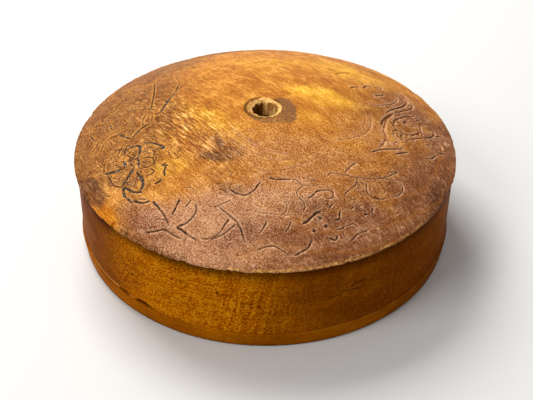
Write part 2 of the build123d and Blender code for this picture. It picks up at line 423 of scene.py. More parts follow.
# Soft patches of the lid's finish in plan: x, y, half length and half width in millimetres, the turn of the
# long side in degrees, and how strong the patch is.
PATCHES = {
    # Palest worn wood and figure, partly a painted highlight on the dome, strongest right of the hole.
    "bright": (
        (26, 14, 14, 7, -20, 1.3), (20, -6, 9, 7, 0, 0.45), (11, -36, 12, 6, 0, 0.3),
        (40, 51, 28, 14, -38, 0.6), (-24, -8, 28, 8, -40, 0.55), (-43, -36, 9, 6, 0, 0.75),
        (-24, -72, 8, 6, 0, 0.6), (4, 52, 40, 12, 0, 0.45),
    ),
    "tan": (
        (14, -34, 48, 18, -8, 0.7), (48, -12, 20, 18, 0, 0.6),
    ),
    # Dust over the front, partly a painted pinkish sheen of light on its rough finish.
    "dust": (
        (-26, -74, 36, 20, 20, 1.1), (-44, -66, 20, 10, -40, 0.9), (6, -58, 34, 12, 0, 0.7),
        (16, -50, 13, 8, 0, 0.6), (45, -26, 24, 9, -10, 0.25), (-22, -87, 50, 8, 0, 0.8),
    ),
    "plum": (
        (84, -40, 44, 24, 62, 1.4), (-50, -66, 13, 7, -35, 0.9), (26, -62, 24, 8, 12, 0.6),
        (38, -72, 40, 18, 25, 1.0), (14, -76, 22, 11, -4, 0.9), (-9, -75, 13, 8, 0, 0.8),
        (-47, -70, 6, 3.5, -38, 0.35), (92, -6, 28, 16, 85, 1.5), (70, 18, 26, 15, -52, 0.75),
        (54, -46, 22, 11, 20, 0.65),
    ),
    "brown": (
        (-86, 8, 66, 36, 88, 1.9), (-62, 58, 44, 20, 45, 1.1), (-28, 82, 36, 9, 14, 0.8),
        (-66, -24, 18, 20, 0, 1.6), (-68.5, -27.5, 6, 4.5, 0, 3.0), (-59.5, -22, 5, 4, 0, 2.0),
        (-78, -26, 8, 5, 60, 2.0), (-50, 22, 22, 12, 60, 0.6), (-66, -37.5, 5, 3.5, -30, 2.6),
        (-58, -40.5, 4, 4, 0, 2.6), (-52, -31.5, 4, 3, 0, 1.8), (62, 10, 24, 20, -30, 0.7),
    ),
    "shade": ((-77, -39.5, 8.5, 3.2, -58, 2.4),),
    "rough": (
        (14, -22, 34, 14, -10, 0.45), (55, -20, 30, 16, -30, 0.35),
    ),
    "stain": (
        (-21.5, -33.5, 8, 3, -15, 1.2), (-20.5, -25, 7, 2, -75, 1.0), (-14.5, -30.5, 7, 2.5, -25, 0.75),
        (-15, -52, 7, 3, -20, 0.7), (79, -40, 13, 6, 60, 0.9), (42, -58.5, 8, 4, 20, 0.5),
        (24, -64, 9, 4, 15, 0.5), (14, -40, 7, 2, 0, 0.2), (-72, 14, 14, 8, 80, 0.3),
        (-26, -20, 8, 1.6, -50, 0.5), (8, 20, 5, 1.5, 0, 0.4), (20, -60, 14, 4, 10, 0.5),
    ),
    "silver": ((-62, 0, 24, 46, 0, 1.0),),
    "amber": (
        (-74, -51, 12, 4.5, -53, 1.7), (-70, -56, 6, 2.0, -50, 1.0),
    ),
    "scraped": (
        (-60, -28, 18, 16, 0, 0.36), (-68, -45.5, 7, 3, -42, 1.6), (-50.6, -51.5, 5, 2.5, 0, 1.2),
        (-52, -45, 12, 6, -20, 0.35), (-58, 6, 12, 12, 0, 0.2), (-44, -20, 10, 10, 0, 0.4),
        (76, 5, 4, 3, 0, 0.5),
    ),
}

# How each patch is laid over the lid's colour: the scale and the reach of the noise that breaks up its
# edge, its strength, and the setting that gives its colour
FINISH_LAYERS = (
    ("tan", 110.0, 0.7, 0.85, "tan"),
    ("bright", 160.0, 0.8, 0.85, "bright"),
    ("dust", 120.0, 0.7, 0.85, "dust"),
    ("brown", 120.0, 0.7, 0.85, "brown"),
    ("plum", 110.0, 0.7, 0.9, "plum"),
    ("scraped", 360.0, 2.4, 0.75, "scrape"),
    ("amber", 150.0, 0.5, 0.95, "amber"),
    ("stain", 300.0, 1.0, 0.8, "stain"),
    ("shade", 200.0, 0.35, 0.8, "stain"),
)

# Places round the box: azimuth and half width in degrees, and a 4 where the place ends steeply
RAGGED_RIM = (-112, 34)
WORN_RIM = (-147, 9)
CLEAN_RIM = (-146, 14)
BARE_RIM = (-70, 26, 4)
BROWN_RIM = (-126, 15)
TURNED_RIM = (-60, 32)
CRACK_BEHIND = (48, 20)
CRACK_IN_FRONT = (-75, 36)
MOUTH_FRONT = (-80, 60)
WORN_LIT_HOOP = (-143, 14, 4)
# Where the painted shade toward the hoop's top is lifted, on its lit front-left
CLEAN_LIT_HOOP = (-131, 9)
RIPPLED_HOOP = (-93, 15)
BROKEN_FOOT = ((0.7, -135, 2.2, 4), (1.0, -127, 3.0, 4))

# Azimuths in degrees between which something sets in or fades
# Where painted shade over darker varnish sets in on the hoop and the base, away from the lamps, and where it
# fades behind
HOOP_DARKENS = (-109, -60)
DARK_FADES = (60, 130)
BASE_DARKENS = ((0.08, -117, -103), (0.34, -60, -30))
LEDGE_WORN_AND_LIT = (-100, -60)
MOUTH_LEFT = (95, 120)
# Where painted shade sets in inside the hole: behind on the left, and at the front
BORE_SHADED = ((80, 108), (-20, -60))

# Outline of the dark mark that the lost knob left: azimuth in degrees, radius in millimetres, strength
PRINT_EDGE = (
    (-180, 9.5, 0.35), (-148, 10.5, 0.6), (-97, 12.6, 0.75), (-60, 14.6, 0.6), (-52, 16.0, 0.6),
    (-42, 17.8, 0.75), (-30, 16.8, 0.8), (-15, 15.0, 1.0), (10, 14.0, 1.0), (41, 12.6, 0.9),
    (62, 9.5, 0.4), (90, 9.0, 0.0), (165, 9.0, 0.0), (180, 9.5, 0.35),
)
TORN_RING_MIDDLE = (-0.8, 0.0)
TORN_RING_RADIUS = 8.5
STREAK_STRETCH = 14

# Damage to the lid's rim: azimuth in degrees, half width and depth in millimetres, and how bare the wood is
RIM_CHIPS = (
    (-150, 7, 0.5, 0.3), (-140, 5, 0.5, 0.5), (-137.5, 1.3, 1.3, 0.5), (-131, 1.2, 1.0, 0.3),
    (-126, 1.6, 1.2, 0.4), (-121, 1.3, 1.4, 0.4), (-112.5, 1.5, 1.2, 0.3), (-98, 5, 0.7, 0.5),
    (-90, 5, 0.35, 0.6), (-84, 4, 0.35, 0.6), (-73, 5, 0.6, 0.6), (-67, 1.2, 1.0, 0.5),
    (-55, 2.5, 0.8, 0.6), (-42, 3, 0.5, 0.7), (-47, 1.4, 0.7, 0.6), (-20, 5, 0.4, 0.1),
    (24, 4, 0.3, 0.4), (33, 3, 0.3, 0.3), (70, 6, 0.4, 0.2), (96, 1.5, 1.0, 0.4), (118, 5, 0.4, 0.2),
    (165, 5, 0.4, 0.2),
)


def smooth_step(low, high, value):
    """0 below low, 1 above high, and a soft rise between them."""
    share = np.clip((value - low) / (high - low), 0, 1)
    return share * share * (3 - 2 * share)


def bell(value, middle, width, power=2):
    """1 at the middle, falling off within a width on either side."""
    return np.exp(-(((value - middle) / width) ** power))


def azimuths(points):
    """The direction of each point in plan, in degrees from +X."""
    return np.degrees(np.arctan2(points[:, 1], points[:, 0]))


def patch_mask(points, patches):
    """How strongly some soft oval patches cover each point in plan, in metres."""
    mask = np.zeros(len(points))
    for x, y, half_length, half_width, turn, strength in patches:
        c, s = cos(radians(turn)), sin(radians(turn))
        dx, dy = points[:, 0] / MM - x, points[:, 1] / MM - y
        reach = np.hypot((dx * c + dy * s) / half_length, (dy * c - dx * s) / half_width)
        mask = np.maximum(mask, strength * np.exp(-0.8 * reach**2))
    return mask


def rough(points, size, seed=0.0):
    """Smooth noise from -1 to 1 at each point, with bumps of about that size in metres."""
    shift = Vector((seed, seed * 0.7, -seed))
    return np.array([noise.noise(Vector(point) / size + shift) for point in points])


def smooth_path(corners, pitch):
    """Points, no more than a pitch apart, on a smooth curve through the corners."""
    ends = [corners[0] * 2 - corners[1], *corners, corners[-1] * 2 - corners[-2]]
    path = [corners[0]]
    for before, start, end, after in zip(ends, ends[1:], ends[2:], ends[3:]):
        steps = max(1, int((end - start).length / pitch))
        for step in range(1, steps + 1):
            t = step / steps
            bend = 2 * before - 5 * start + 4 * end - after
            twist = 3 * start - before - 3 * end + after
            path.append(0.5 * (2 * start + (end - before) * t + bend * t**2 + twist * t**3))
    return path


def unsteady(point, size, seed):
    """A hand's wobble, as noise from -1 to 1 at a point."""
    return noise.noise(point / size + Vector((seed, -seed, seed)))


def stroke_samples(points, width, depth, ink):
    """Close points along one cut, each with the cut's half width, depth and colour there."""
    path = smooth_path(points, STROKE_PITCH)
    samples = []
    for index, point in enumerate(path):
        along = index / max(1, len(path) - 1)
        taper = min(1, 6 * min(along, 1 - along) + 0.45)
        half = width / 2 * taper * (1 + 0.4 * unsteady(point, 1.3 * MM, 3.1))
        deep = depth * taper * (1 + 0.5 * unsteady(point, 1.7 * MM, 9.2))
        drift = Vector((unsteady(point, 1.9 * MM, 5.7), unsteady(point, 1.9 * MM, 7.9), 0)) * 0.22 * MM
        samples.append((point + drift, half, deep, ink))
    return samples


def carving_samples(settings):
    """The points of every cut of the lid."""
    strokes = [*FLOWER, *FAN, *BLOSSOM, *FRONT_LEAF, *SPRAYS, *SCROLL, *DASHES, *RINGS]
    for x, y in BERRIES:
        turns = np.linspace(0, 2 * pi, 7)
        ring = [(x + BERRY_PIXELS * cos(a), y + 0.7 * BERRY_PIXELS * sin(a)) for a in turns]
        strokes.append((1.1, 0.5, 0.9, ring))
    samples = []
    for width, depth, ink, pixels in strokes:
        wide, deep = width * MM * settings.groove_width, depth * MM * settings.groove_depth
        samples += stroke_samples([on_dome(pixel) for pixel in pixels], wide, deep, ink)
    return samples + nicks() + torn_grain()


def sample_tree(samples):
    """A tree that finds the sample nearest to a point in plan."""
    tree = KDTree(len(samples))
    for index, (point, *_) in enumerate(samples):
        tree.insert((point.x, point.y, 0), index)
    tree.balance()
    return tree


def nicks():
    """Short bent marks of the knife between the large cuts."""
    draw = random.Random(5)
    samples = []
    for x, y, half_x, half_y, count, depth, ink in NICKS:
        for _ in range(count):
            middle = Vector((draw.gauss(x, half_x / 2), draw.gauss(y, half_y / 2), 0))
            turn, bend, length = draw.uniform(0, 2 * pi), draw.uniform(-0.9, 0.9), draw.uniform(1.2, 4.5)
            steps = int(length / 0.2)
            for step in range(steps + 1):
                along = step / steps - 0.5
                angle = turn + bend * along
                point = middle + Vector((cos(angle), sin(angle), 0)) * length * along
                taper = 0.35 + 0.65 * cos(pi * along)
                samples.append((point * MM, NICK_HALF_WIDTH * MM * taper, depth * MM * taper, ink))
    return samples


def torn_grain():
    """Short shallow tears along the grain, left of the hole, where the turning tool lifted the wood."""
    draw = random.Random(11)
    samples = []
    for _ in range(TEARS):
        turn = radians(GRAIN_TURN + draw.uniform(-7, 7))
        grain = Vector((cos(turn), sin(turn), 0))
        side = Vector((-grain.y, grain.x, 0))
        start = Vector((*TORN_MIDDLE, 0)) + grain * draw.uniform(-TORN_LENGTH, TORN_LENGTH)
        start += side * draw.gauss(0, TORN_WIDTH)
        length = draw.uniform(2.5, 9)
        steps = int(length / 0.25)
        for step in range(steps + 1):
            point = (start + grain * length * step / steps) * MM
            taper = 0.2 + 0.8 * sin(pi * step / steps)
            samples.append((point, TEAR_SIZE * MM * taper, TEAR_SIZE * MM * taper, 0.0))
    return samples


def spun(profile, steps):
    """A closed profile of (radius, height) points, turned once round the box's axis."""
    bm = bmesh.new()
    verts = [bm.verts.new((radius, 0, height)) for radius, height in profile]
    edges = [bm.edges.new(pair) for pair in zip(verts, verts[1:] + verts[:1]) if pair[0].co.x or pair[1].co.x]
    bmesh.ops.spin(
        bm, geom=verts + edges, cent=(0, 0, 0), axis=(0, 0, 1), angle=2 * pi, steps=steps, use_merge=True
    )
    bmesh.ops.remove_doubles(bm, verts=bm.verts, dist=1e-6)
    bmesh.ops.recalc_face_normals(bm, faces=bm.faces)
    return bm


def spaced(start, end, pitch):
    """Numbers from start to end, both included, no more than a pitch apart."""
    return list(np.linspace(start, end, max(2, int(abs(end - start) / pitch + 1.5))))


def straight(corners, pitch):
    """The points of a run of straight lines, no more than a pitch apart."""
    points = [corners[0]]
    for (r0, z0), (r1, z1) in zip(corners, corners[1:]):
        steps = max(1, round(sqrt((r1 - r0) ** 2 + (z1 - z0) ** 2) / pitch))
        points += [(r0 + (r1 - r0) * k / steps, z0 + (z1 - z0) * k / steps) for k in range(1, steps + 1)]
    return points


def points_of(bm):
    """The points of a bmesh as an array."""
    return np.array([vert.co for vert in bm.verts])


def move_points(bm, places):
    """Moves the points of a bmesh to their new places."""
    for vert, place in zip(bm.verts, places):
        vert.co = place


def halve_near(bm, near, reaches):
    """Halves the edges of each face that lies within a reach of something, once for each reach."""
    for reach in reaches:
        edges = {edge for face in bm.faces if near(face.calc_center_median(), reach) for edge in face.edges}
        bmesh.ops.subdivide_edges(bm, edges=list(edges), cuts=1, use_grid_fill=True)


def finished_piece(name, bm, body, node, materials, masks):
    """Makes an object of a bmesh, with the masks that its finish reads, and ties it to the frame."""
    mesh = bpy.data.meshes.new(name)
    bmesh.ops.triangulate(bm, faces=[face for face in bm.faces if len(face.verts) > 4])
    bm.to_mesh(mesh)
    bm.free()
    for key, values in masks.items():
        mesh.attributes.new(key, "FLOAT", "POINT").data.foreach_set("value", values.astype(np.float32))
    for material in materials:
        mesh.materials.append(material)
    mesh.shade_smooth()
    piece = bpy.data.objects.new(name, mesh)
    bpy.context.scene.collection.objects.link(piece)
    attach(piece, body)
    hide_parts(node)
    return piece


def lid_profile():
    """The lid's section, from the hole's lower end, out under the lid, over the rim and back up the dome."""
    spigot_foot = LID_LOW.z
    bevel_start = SPIGOT_INNER - HOLLOW_BEVEL * 0.97
    hollow = [(r, float(hollow_z(r))) for r in spaced(HOLE_RADIUS, bevel_start, HOLLOW_PITCH)]
    under = straight(
        [
            hollow[-1],
            (SPIGOT_INNER, float(hollow_z(SPIGOT_INNER)) - HOLLOW_BEVEL),
            (SPIGOT_INNER, spigot_foot),
            (SPIGOT_OUTER - SPIGOT_BEVEL, spigot_foot),
            (SPIGOT_OUTER, spigot_foot + SPIGOT_BEVEL),
            (SPIGOT_OUTER, SEAT_Z),
            (LID_RADIUS - 0.2 * MM, SEAT_Z),
            (LID_RADIUS, SEAT_Z + 0.2 * MM),
            (LID_RADIUS, SEAT_Z + LID_LAND - 0.2 * MM),
        ],
        SPIGOT_PITCH,
    )
    dome = [(r, float(dome_z(r))) for r in spaced(LID_RADIUS - 0.25 * MM, PRINT_RADIUS, DOME_PITCH)]
    dome += [(r, float(dome_z(r))) for r in spaced(PRINT_RADIUS, MOUTH_RADIUS, PRINT_PITCH)][1:]
    mouth = [(r, float(dome_z(r))) for r in spaced(MOUTH_RADIUS, HOLE_RADIUS + 0.05 * MM, MOUTH_PITCH)]
    bore_foot = APEX_Z - DOME_THICKNESS + 0.8 * MM
    bore = [(HOLE_RADIUS, z) for z in spaced(APEX_Z - 1.7 * MM, bore_foot, BORE_PITCH)]
    return hollow + under[1:] + dome + mouth[1:] + bore


def tint(name, description, default):
    """A colour among the settings."""
    return FloatVectorProperty(name=name, description=description, subtype="COLOR", default=default)


class RoundBoxLidSettings(bpy.types.PropertyGroup):
    """Sizes and colours of the carved lid."""

    spin_steps: IntProperty(
        name="Turns", description="Faces round the lid before it is refined", default=208, min=48
    )
    groove_width: FloatProperty(name="Groove width", description="Scale of each cut's width", default=1.0)
    groove_depth: FloatProperty(name="Groove depth", description="Scale of each cut's depth", default=1.0)
    chip_depth: FloatProperty(name="Chip depth", description="Scale of the damage to the rim", default=1.0)
    honey: tint("Honey", "Worn wood round the hole", (0.63, 0.25, 0.031))
    rust: tint("Rust", "Darker figure of the wood", (0.46, 0.15, 0.017))
    # The bright colour is partly a painted highlight, and also lightens the raised fibres of the tears.
    bright: tint("Bright", "Palest worn wood", (0.97, 0.49, 0.045))
    tan: tint("Tan", "Duller wood in front of the hole", (0.50, 0.205, 0.062))
    # The dust colour is partly a painted sheen of light over the front.
    dust: tint("Dust", "Dusty bloom over the front", (0.56, 0.275, 0.15))
    plum: tint("Plum", "Darkened finish at the right", (0.27, 0.1, 0.045))
    brown: tint("Brown", "Darkened finish at the left", (0.222, 0.081, 0.02))
    amber: tint("Amber", "Edge worn down to glossy wood", (0.62, 0.2, 0.008))
    # The stain colour also paints shade into the floors of the cuts.
    stain: tint("Stain", "Old dark spots", (0.12, 0.045, 0.022))
    ink: tint("Ink", "Dark colour rubbed into the cuts", (0.045, 0.03, 0.02))
    glint: tint("Glint", "Grey specks in that colour", (0.62, 0.55, 0.46))
    scrape: tint("Scrape", "Wood scraped clean between the cuts", (0.8, 0.35, 0.07))
    # The lip colour is partly a painted highlight on the cuts' edges, and also paints the pale glints of the
    # finish's specks.
    lip: tint("Lip", "Pale worn edge of a cut", (0.8, 0.45, 0.25))
    mark: tint("Mark", "Knob's dark mark beside the hole", (0.19, 0.078, 0.028))
    raw: tint("Raw wood", "Broken wood at chips and the hole", (0.95, 0.53, 0.16))
    # The bore colour paints the shade inside the hole and in the crack round its mouth, over dark wood.
    bore: tint("Bore", "Darkened wood inside the hole", (0.17, 0.07, 0.01))


class RoundBoxWallSettings(bpy.types.PropertyGroup):
    """Sizes and colours of the bent hoop and the base."""

    ripple: FloatProperty(
        name="Ripple", description="Height of the ripples that bending left",
        default=0.07 * MM, subtype="DISTANCE",
    )
    spring: FloatProperty(
        name="Spring", description="How far the hoop's foot has broken away",
        default=2.2 * MM, subtype="DISTANCE",
    )
    amber: tint("Amber", "Varnish over pale wood", (0.55, 0.168, 0.0014))
    # The brown colour also paints the shade on the side of the hoop and base away from the lamps.
    brown: tint("Brown", "Varnish over dark figure", (0.175, 0.04, 0.0008))
    # The scuff colour is partly a painted highlight on the hoop's lower arris and on the base's ledge.
    scuff: tint("Scuff", "Varnish worn thin on an edge", (0.52, 0.235, 0.055))
    bare: tint("Bare wood", "Unvarnished wood inside", (0.52, 0.30, 0.125))
    bare_dark: tint("Bare figure", "Darker figure of the bare wood", (0.34, 0.17, 0.06))


class RoundBoxStageSettings(bpy.types.PropertyGroup):
    """Levels of the studio's lamps and the colour of its floor."""

    key: FloatProperty(name="Key lamp", description="Power of the lamp behind", default=13.0, unit="POWER")
    fill: FloatProperty(name="Fill lamp", description="Power of the left lamp", default=5.0, unit="POWER")
    sky: FloatProperty(name="Sky", description="Strength of the even light from all round", default=0.38)
    floor: tint("Floor", "Plain floor", (0.74, 0.73, 0.71))


def put(tree, kind, values=None, **settings):
    """Adds a shader node with its settings and inputs, each a value or another node's output."""
    node = tree.nodes.new(kind)
    for key, value in settings.items():
        setattr(node, key, value)
    for key, value in (values or {}).items():
        if isinstance(value, bpy.types.NodeSocket):
            tree.links.new(value, node.inputs[key])
        elif hasattr(value, "__len__"):
            size = len(node.inputs[key].default_value)
            node.inputs[key].default_value = (*value, 1.0)[:size]
        else:
            node.inputs[key].default_value = value
    return node


def maths(tree, operation, *values):
    """One arithmetic step of a shader."""
    return put(tree, "ShaderNodeMath", dict(enumerate(values)), operation=operation).outputs[0]


def times(tree, first, *others):
    """Values of a shader multiplied together."""
    for value in others:
        first = maths(tree, "MULTIPLY", first, value)
    return first


def scaled(tree, value, scale, shift):
    """A value times a scale, plus a shift."""
    return maths(tree, "MULTIPLY_ADD", value, scale, shift)


def ramped(tree, value, low, high, out_low=0.0, out_high=1.0):
    """A value turned into a soft step from low to high."""
    values = {"Value": value, "From Min": low, "From Max": high, "To Min": out_low, "To Max": out_high}
    return put(tree, "ShaderNodeMapRange", values, interpolation_type="SMOOTHSTEP").outputs[0]


def mixed(tree, factor, first, second, share=1.0):
    """Two colours mixed by a factor and a share of it."""
    if share != 1.0:
        factor = times(tree, factor, share)
    return put(tree, "ShaderNodeMix", {0: factor, 6: first, 7: second}, data_type="RGBA").outputs[2]


def shaded(tree, colour, *values):
    """A colour made darker or brighter by one or more values round 1."""
    for value in values:
        scale = put(tree, "ShaderNodeVectorMath", {0: colour, "Scale": value}, operation="SCALE")
        colour = scale.outputs[0]
    return colour


def softened(tree, value, share):
    """A value round 1, drawn towards 1 by a share."""
    return scaled(tree, maths(tree, "SUBTRACT", value, 1.0), share, 1.0)


def toned(tree, colour, tone, richness):
    """A colour made deeper where a tone is below 1 and paler where it is above."""
    power = scaled(tree, tone, -richness, 1 + richness)
    return shaded(tree, put(tree, "ShaderNodeGamma", {"Color": colour, "Gamma": power}).outputs[0], tone)


def noisy(tree, vector, scale, detail=3.0, roughness=0.55, distortion=0.0):
    """Noise from 0 to 1 at a scale in bumps to the metre."""
    values = dict(Vector=vector, Scale=scale, Detail=detail, Roughness=roughness, Distortion=distortion)
    return put(tree, "ShaderNodeTexNoise", values).outputs[0]


def stretched(tree, vector, scale):
    """Coordinates squeezed or stretched along each axis."""
    return put(tree, "ShaderNodeMapping", {"Vector": vector, "Scale": scale}).outputs[0]


def shader_group(name, inputs, outputs):
    """An empty shader node group with its sockets, and its two ends."""
    group = bpy.data.node_groups.new(name, "ShaderNodeTree")
    group.interface.new_socket(name="Vector", in_out="INPUT", socket_type="NodeSocketVector")
    for key, value in inputs.items():
        socket = group.interface.new_socket(name=key, in_out="INPUT", socket_type="NodeSocketFloat")
        socket.default_value = value
    for key in outputs:
        group.interface.new_socket(name=key, in_out="OUTPUT", socket_type="NodeSocketFloat")
    return group, group.nodes.new("NodeGroupInput"), group.nodes.new("NodeGroupOutput")


def wood_figure_group():
    """Growth rings, fibres, pores and cloudy figure, from coordinates in metres."""
    sizes = {"Ring Spacing": 0.003, "Ring Warp": 0.0015, "Grain Turn": 0.0}
    outputs = ("Ring", "Fibre", "Streaks", "Pores", "Figure")
    group, given, result = shader_group("wood_figure", sizes, outputs)
    turn = put(group, "ShaderNodeCombineXYZ", {"Z": given.outputs["Grain Turn"]}).outputs[0]
    grain = put(group, "ShaderNodeMapping", {"Vector": given.outputs["Vector"], "Rotation": turn}).outputs[0]
    long_grain = stretched(group, grain, (0.14, 1.0, 1.0))
    slow_grain = stretched(group, grain, (0.45, 1.0, 1.0))
    parts = put(group, "ShaderNodeSeparateXYZ", {"Vector": given.outputs["Vector"]})
    warp = maths(group, "SUBTRACT", noisy(group, slow_grain, 42.0, 3.0, 0.5, 0.6), 0.5)
    warp = times(group, warp, given.outputs["Ring Warp"])
    fine_warp = maths(group, "SUBTRACT", noisy(group, grain, 260.0, 2.0), 0.5)
    warp = maths(group, "ADD", warp, times(group, fine_warp, 0.0006))
    tilt = times(group, parts.outputs["X"], 0.11)
    height = maths(group, "ADD", maths(group, "ADD", parts.outputs["Z"], tilt), warp)
    phase = maths(group, "FRACT", maths(group, "DIVIDE", height, given.outputs["Ring Spacing"]))
    line = times(group, ramped(group, phase, 0.74, 0.93), ramped(group, phase, 0.99, 0.955))
    found = {
        "Ring": line,
        "Fibre": noisy(group, long_grain, 900.0, 4.0, 0.65, 0.3),
        "Streaks": ramped(group, noisy(group, long_grain, 950.0, 3.0, 0.6), 0.52, 0.62),
        "Pores": ramped(group, noisy(group, long_grain, 2300.0, 2.0, 0.5), 0.4, 0.3),
        "Figure": noisy(group, slow_grain, 75.0, 4.0, 0.6, 1.2),
    }
    for key, socket in found.items():
        group.links.new(socket, result.inputs[key])
    return group


def broken_mask_group():
    """A soft mask whose edge is broken up by noise, for stains, worn places and bloom."""
    sizes = {"Mask": 0.0, "Scale": 200.0, "Break": 0.6, "Strength": 1.0}
    group, given, result = shader_group("broken_mask", sizes, ("Mask",))
    cloud = noisy(group, given.outputs["Vector"], given.outputs["Scale"], 5.0, 0.62)
    cloud = maths(group, "SUBTRACT", cloud, 0.5)
    shifted = scaled(group, cloud, given.outputs["Break"], given.outputs["Mask"])
    kept = times(group, ramped(group, shifted, 0.1, 0.9), given.outputs["Strength"])
    kept = times(group, kept, ramped(group, given.outputs["Mask"], 0.02, 0.2))
    group.links.new(kept, result.inputs["Mask"])
    return group


def grit_group():
    """The grit and crackle of old finish: pale and dark specks, a tone round 1, and a height for a bump; the
    lid paints glints with the pale specks.
    """
    sizes = {"Scale": 1000.0, "Contrast": 0.5}
    group, given, result = shader_group("grit", sizes, ("Pale", "Dark", "Tone", "Height"))
    place, scale = given.outputs["Vector"], given.outputs["Scale"]
    coarse = noisy(group, place, scale, 3.0, 0.7, 0.4)
    fine = noisy(group, place, times(group, scale, 2.3), 2.0, 0.6)
    cell_scale = times(group, scale, 0.8)
    cells = put(group, "ShaderNodeTexVoronoi", {"Vector": place, "Scale": cell_scale})
    dome = maths(group, "SUBTRACT", 0.95, cells.outputs["Distance"])
    both = scaled(group, fine, 0.35, times(group, coarse, 0.4))
    both = scaled(group, dome, 0.25, both)
    spread = times(group, given.outputs["Contrast"], 2.0)
    tone = scaled(group, maths(group, "SUBTRACT", both, 0.5), spread, 1.0)
    pale, dark = ramped(group, both, 0.54, 0.64), ramped(group, both, 0.47, 0.36)
    found = {"Pale": pale, "Dark": dark, "Tone": tone, "Height": both}
    for key, socket in found.items():
        group.links.new(socket, result.inputs[key])
    return group


def placed_group(tree, group, **values):
    """A node group placed in a material."""
    inputs = {key.replace("_", " "): value for key, value in values.items()}
    return put(tree, "ShaderNodeGroup", inputs, node_tree=group)


def broken(tree, group, vector, mask, scale, breaking, strength):
    """A mask whose edge is broken up by noise."""
    sizes = {"Scale": scale, "Break": breaking, "Strength": strength}
    return placed_group(tree, group, Vector=vector, Mask=mask, **sizes).outputs[0]


def new_material(name):
    """An empty material with its tree, shader and object coordinates."""
    material = bpy.data.materials.new(name)
    material.use_nodes = True
    tree = material.node_tree
    tree.nodes.clear()
    shader = tree.nodes.new("ShaderNodeBsdfPrincipled")
    output = tree.nodes.new("ShaderNodeOutputMaterial")
    tree.links.new(shader.outputs[0], output.inputs["Surface"])
    place = tree.nodes.new("ShaderNodeTexCoord").outputs["Object"]
    return material, tree, shader, place


def mask_of(tree, name):
    """A vertex attribute as a value."""
    return put(tree, "ShaderNodeAttribute", attribute_name=name).outputs["Fac"]


def across_radius(tree, place):
    """The distance from the box's axis."""
    flat = stretched(tree, place, (1, 1, 0))
    return put(tree, "ShaderNodeVectorMath", {0: flat}, operation="LENGTH").outputs["Value"]


def bumped(tree, shader, *layers):
    """Bumps laid over one another, each a height, a strength and a depth in metres."""
    normal = None
    for height, strength, depth in layers:
        values = {"Height": height, "Strength": strength, "Distance": depth}
        if normal is not None:
            values["Normal"] = normal
        normal = put(tree, "ShaderNodeBump", values).outputs[0]
    tree.links.new(normal, shader.inputs["Normal"])


def reflective(shader, ior, level, colour):
    """Sets how strongly a surface reflects, and in what colour."""
    shader.inputs["IOR"].default_value = ior
    shader.inputs["Specular IOR Level"].default_value = level
    shader.inputs["Specular Tint"].default_value = (*colour, 1.0)


def lid_finish(tree, settings, group, place, figure):
    """The colour of the lid's finish, patch over patch."""
    colour = mixed(tree, ramped(tree, figure["Figure"], 0.26, 0.7), settings.rust, settings.honey)
    for name, scale, breaking, strength, setting in FINISH_LAYERS:
        patch = broken(tree, group, place, mask_of(tree, name), scale, breaking, strength)
        colour = mixed(tree, patch, colour, getattr(settings, setting))
    return colour


def lid_tone(tree, place, figure, grit, leather):
    """How pale or dark the lid is, round 1, with its grain, its tears, its turning lines and its specks."""
    torn, turned = mask_of(tree, "torn"), mask_of(tree, "turned")
    cloud = ramped(tree, noisy(tree, place, 150.0, 4.0, 0.6, 0.5), 0.3, 0.7, 0.9, 1.1)
    fibre_share = scaled(tree, torn, 0.4, ramped(tree, leather, 0.0, 1.0, 1.0, 0.4))
    fibre = softened(tree, ramped(tree, figure["Fibre"], 0.36, 0.64, 0.85, 1.15), fibre_share)
    turn = (0, 0, radians(-GRAIN_TURN))
    grain = put(tree, "ShaderNodeMapping", {"Vector": place, "Rotation": turn}).outputs[0]
    stripes = noisy(tree, stretched(tree, grain, (0.14, 1, 1)), 1500.0, 2.0, 0.6)
    stripes = softened(tree, ramped(tree, stripes, 0.36, 0.6, 0.55, 1.3), torn)
    specks = softened(tree, grit["Tone"], ramped(tree, leather, 0.0, 1.0, 0.55, 1.0))
    specks = softened(tree, specks, scaled(tree, turned, -0.3, 1.0))
    ring = put(tree, "ShaderNodeCombineXYZ", {"Z": across_radius(tree, place)}).outputs[0]
    drift = stretched(tree, place, (0.06, 0.06, 0))
    ring = put(tree, "ShaderNodeVectorMath", {0: ring, 1: drift}, operation="ADD").outputs[0]
    lines = ramped(tree, noisy(tree, ring, 900.0, 3.0, 0.6), 0.35, 0.65, -1.0, 1.0)
    lines = scaled(tree, times(tree, lines, turned), 0.11, 1.0)
    return times(tree, cloud, fibre, stripes, specks, lines)


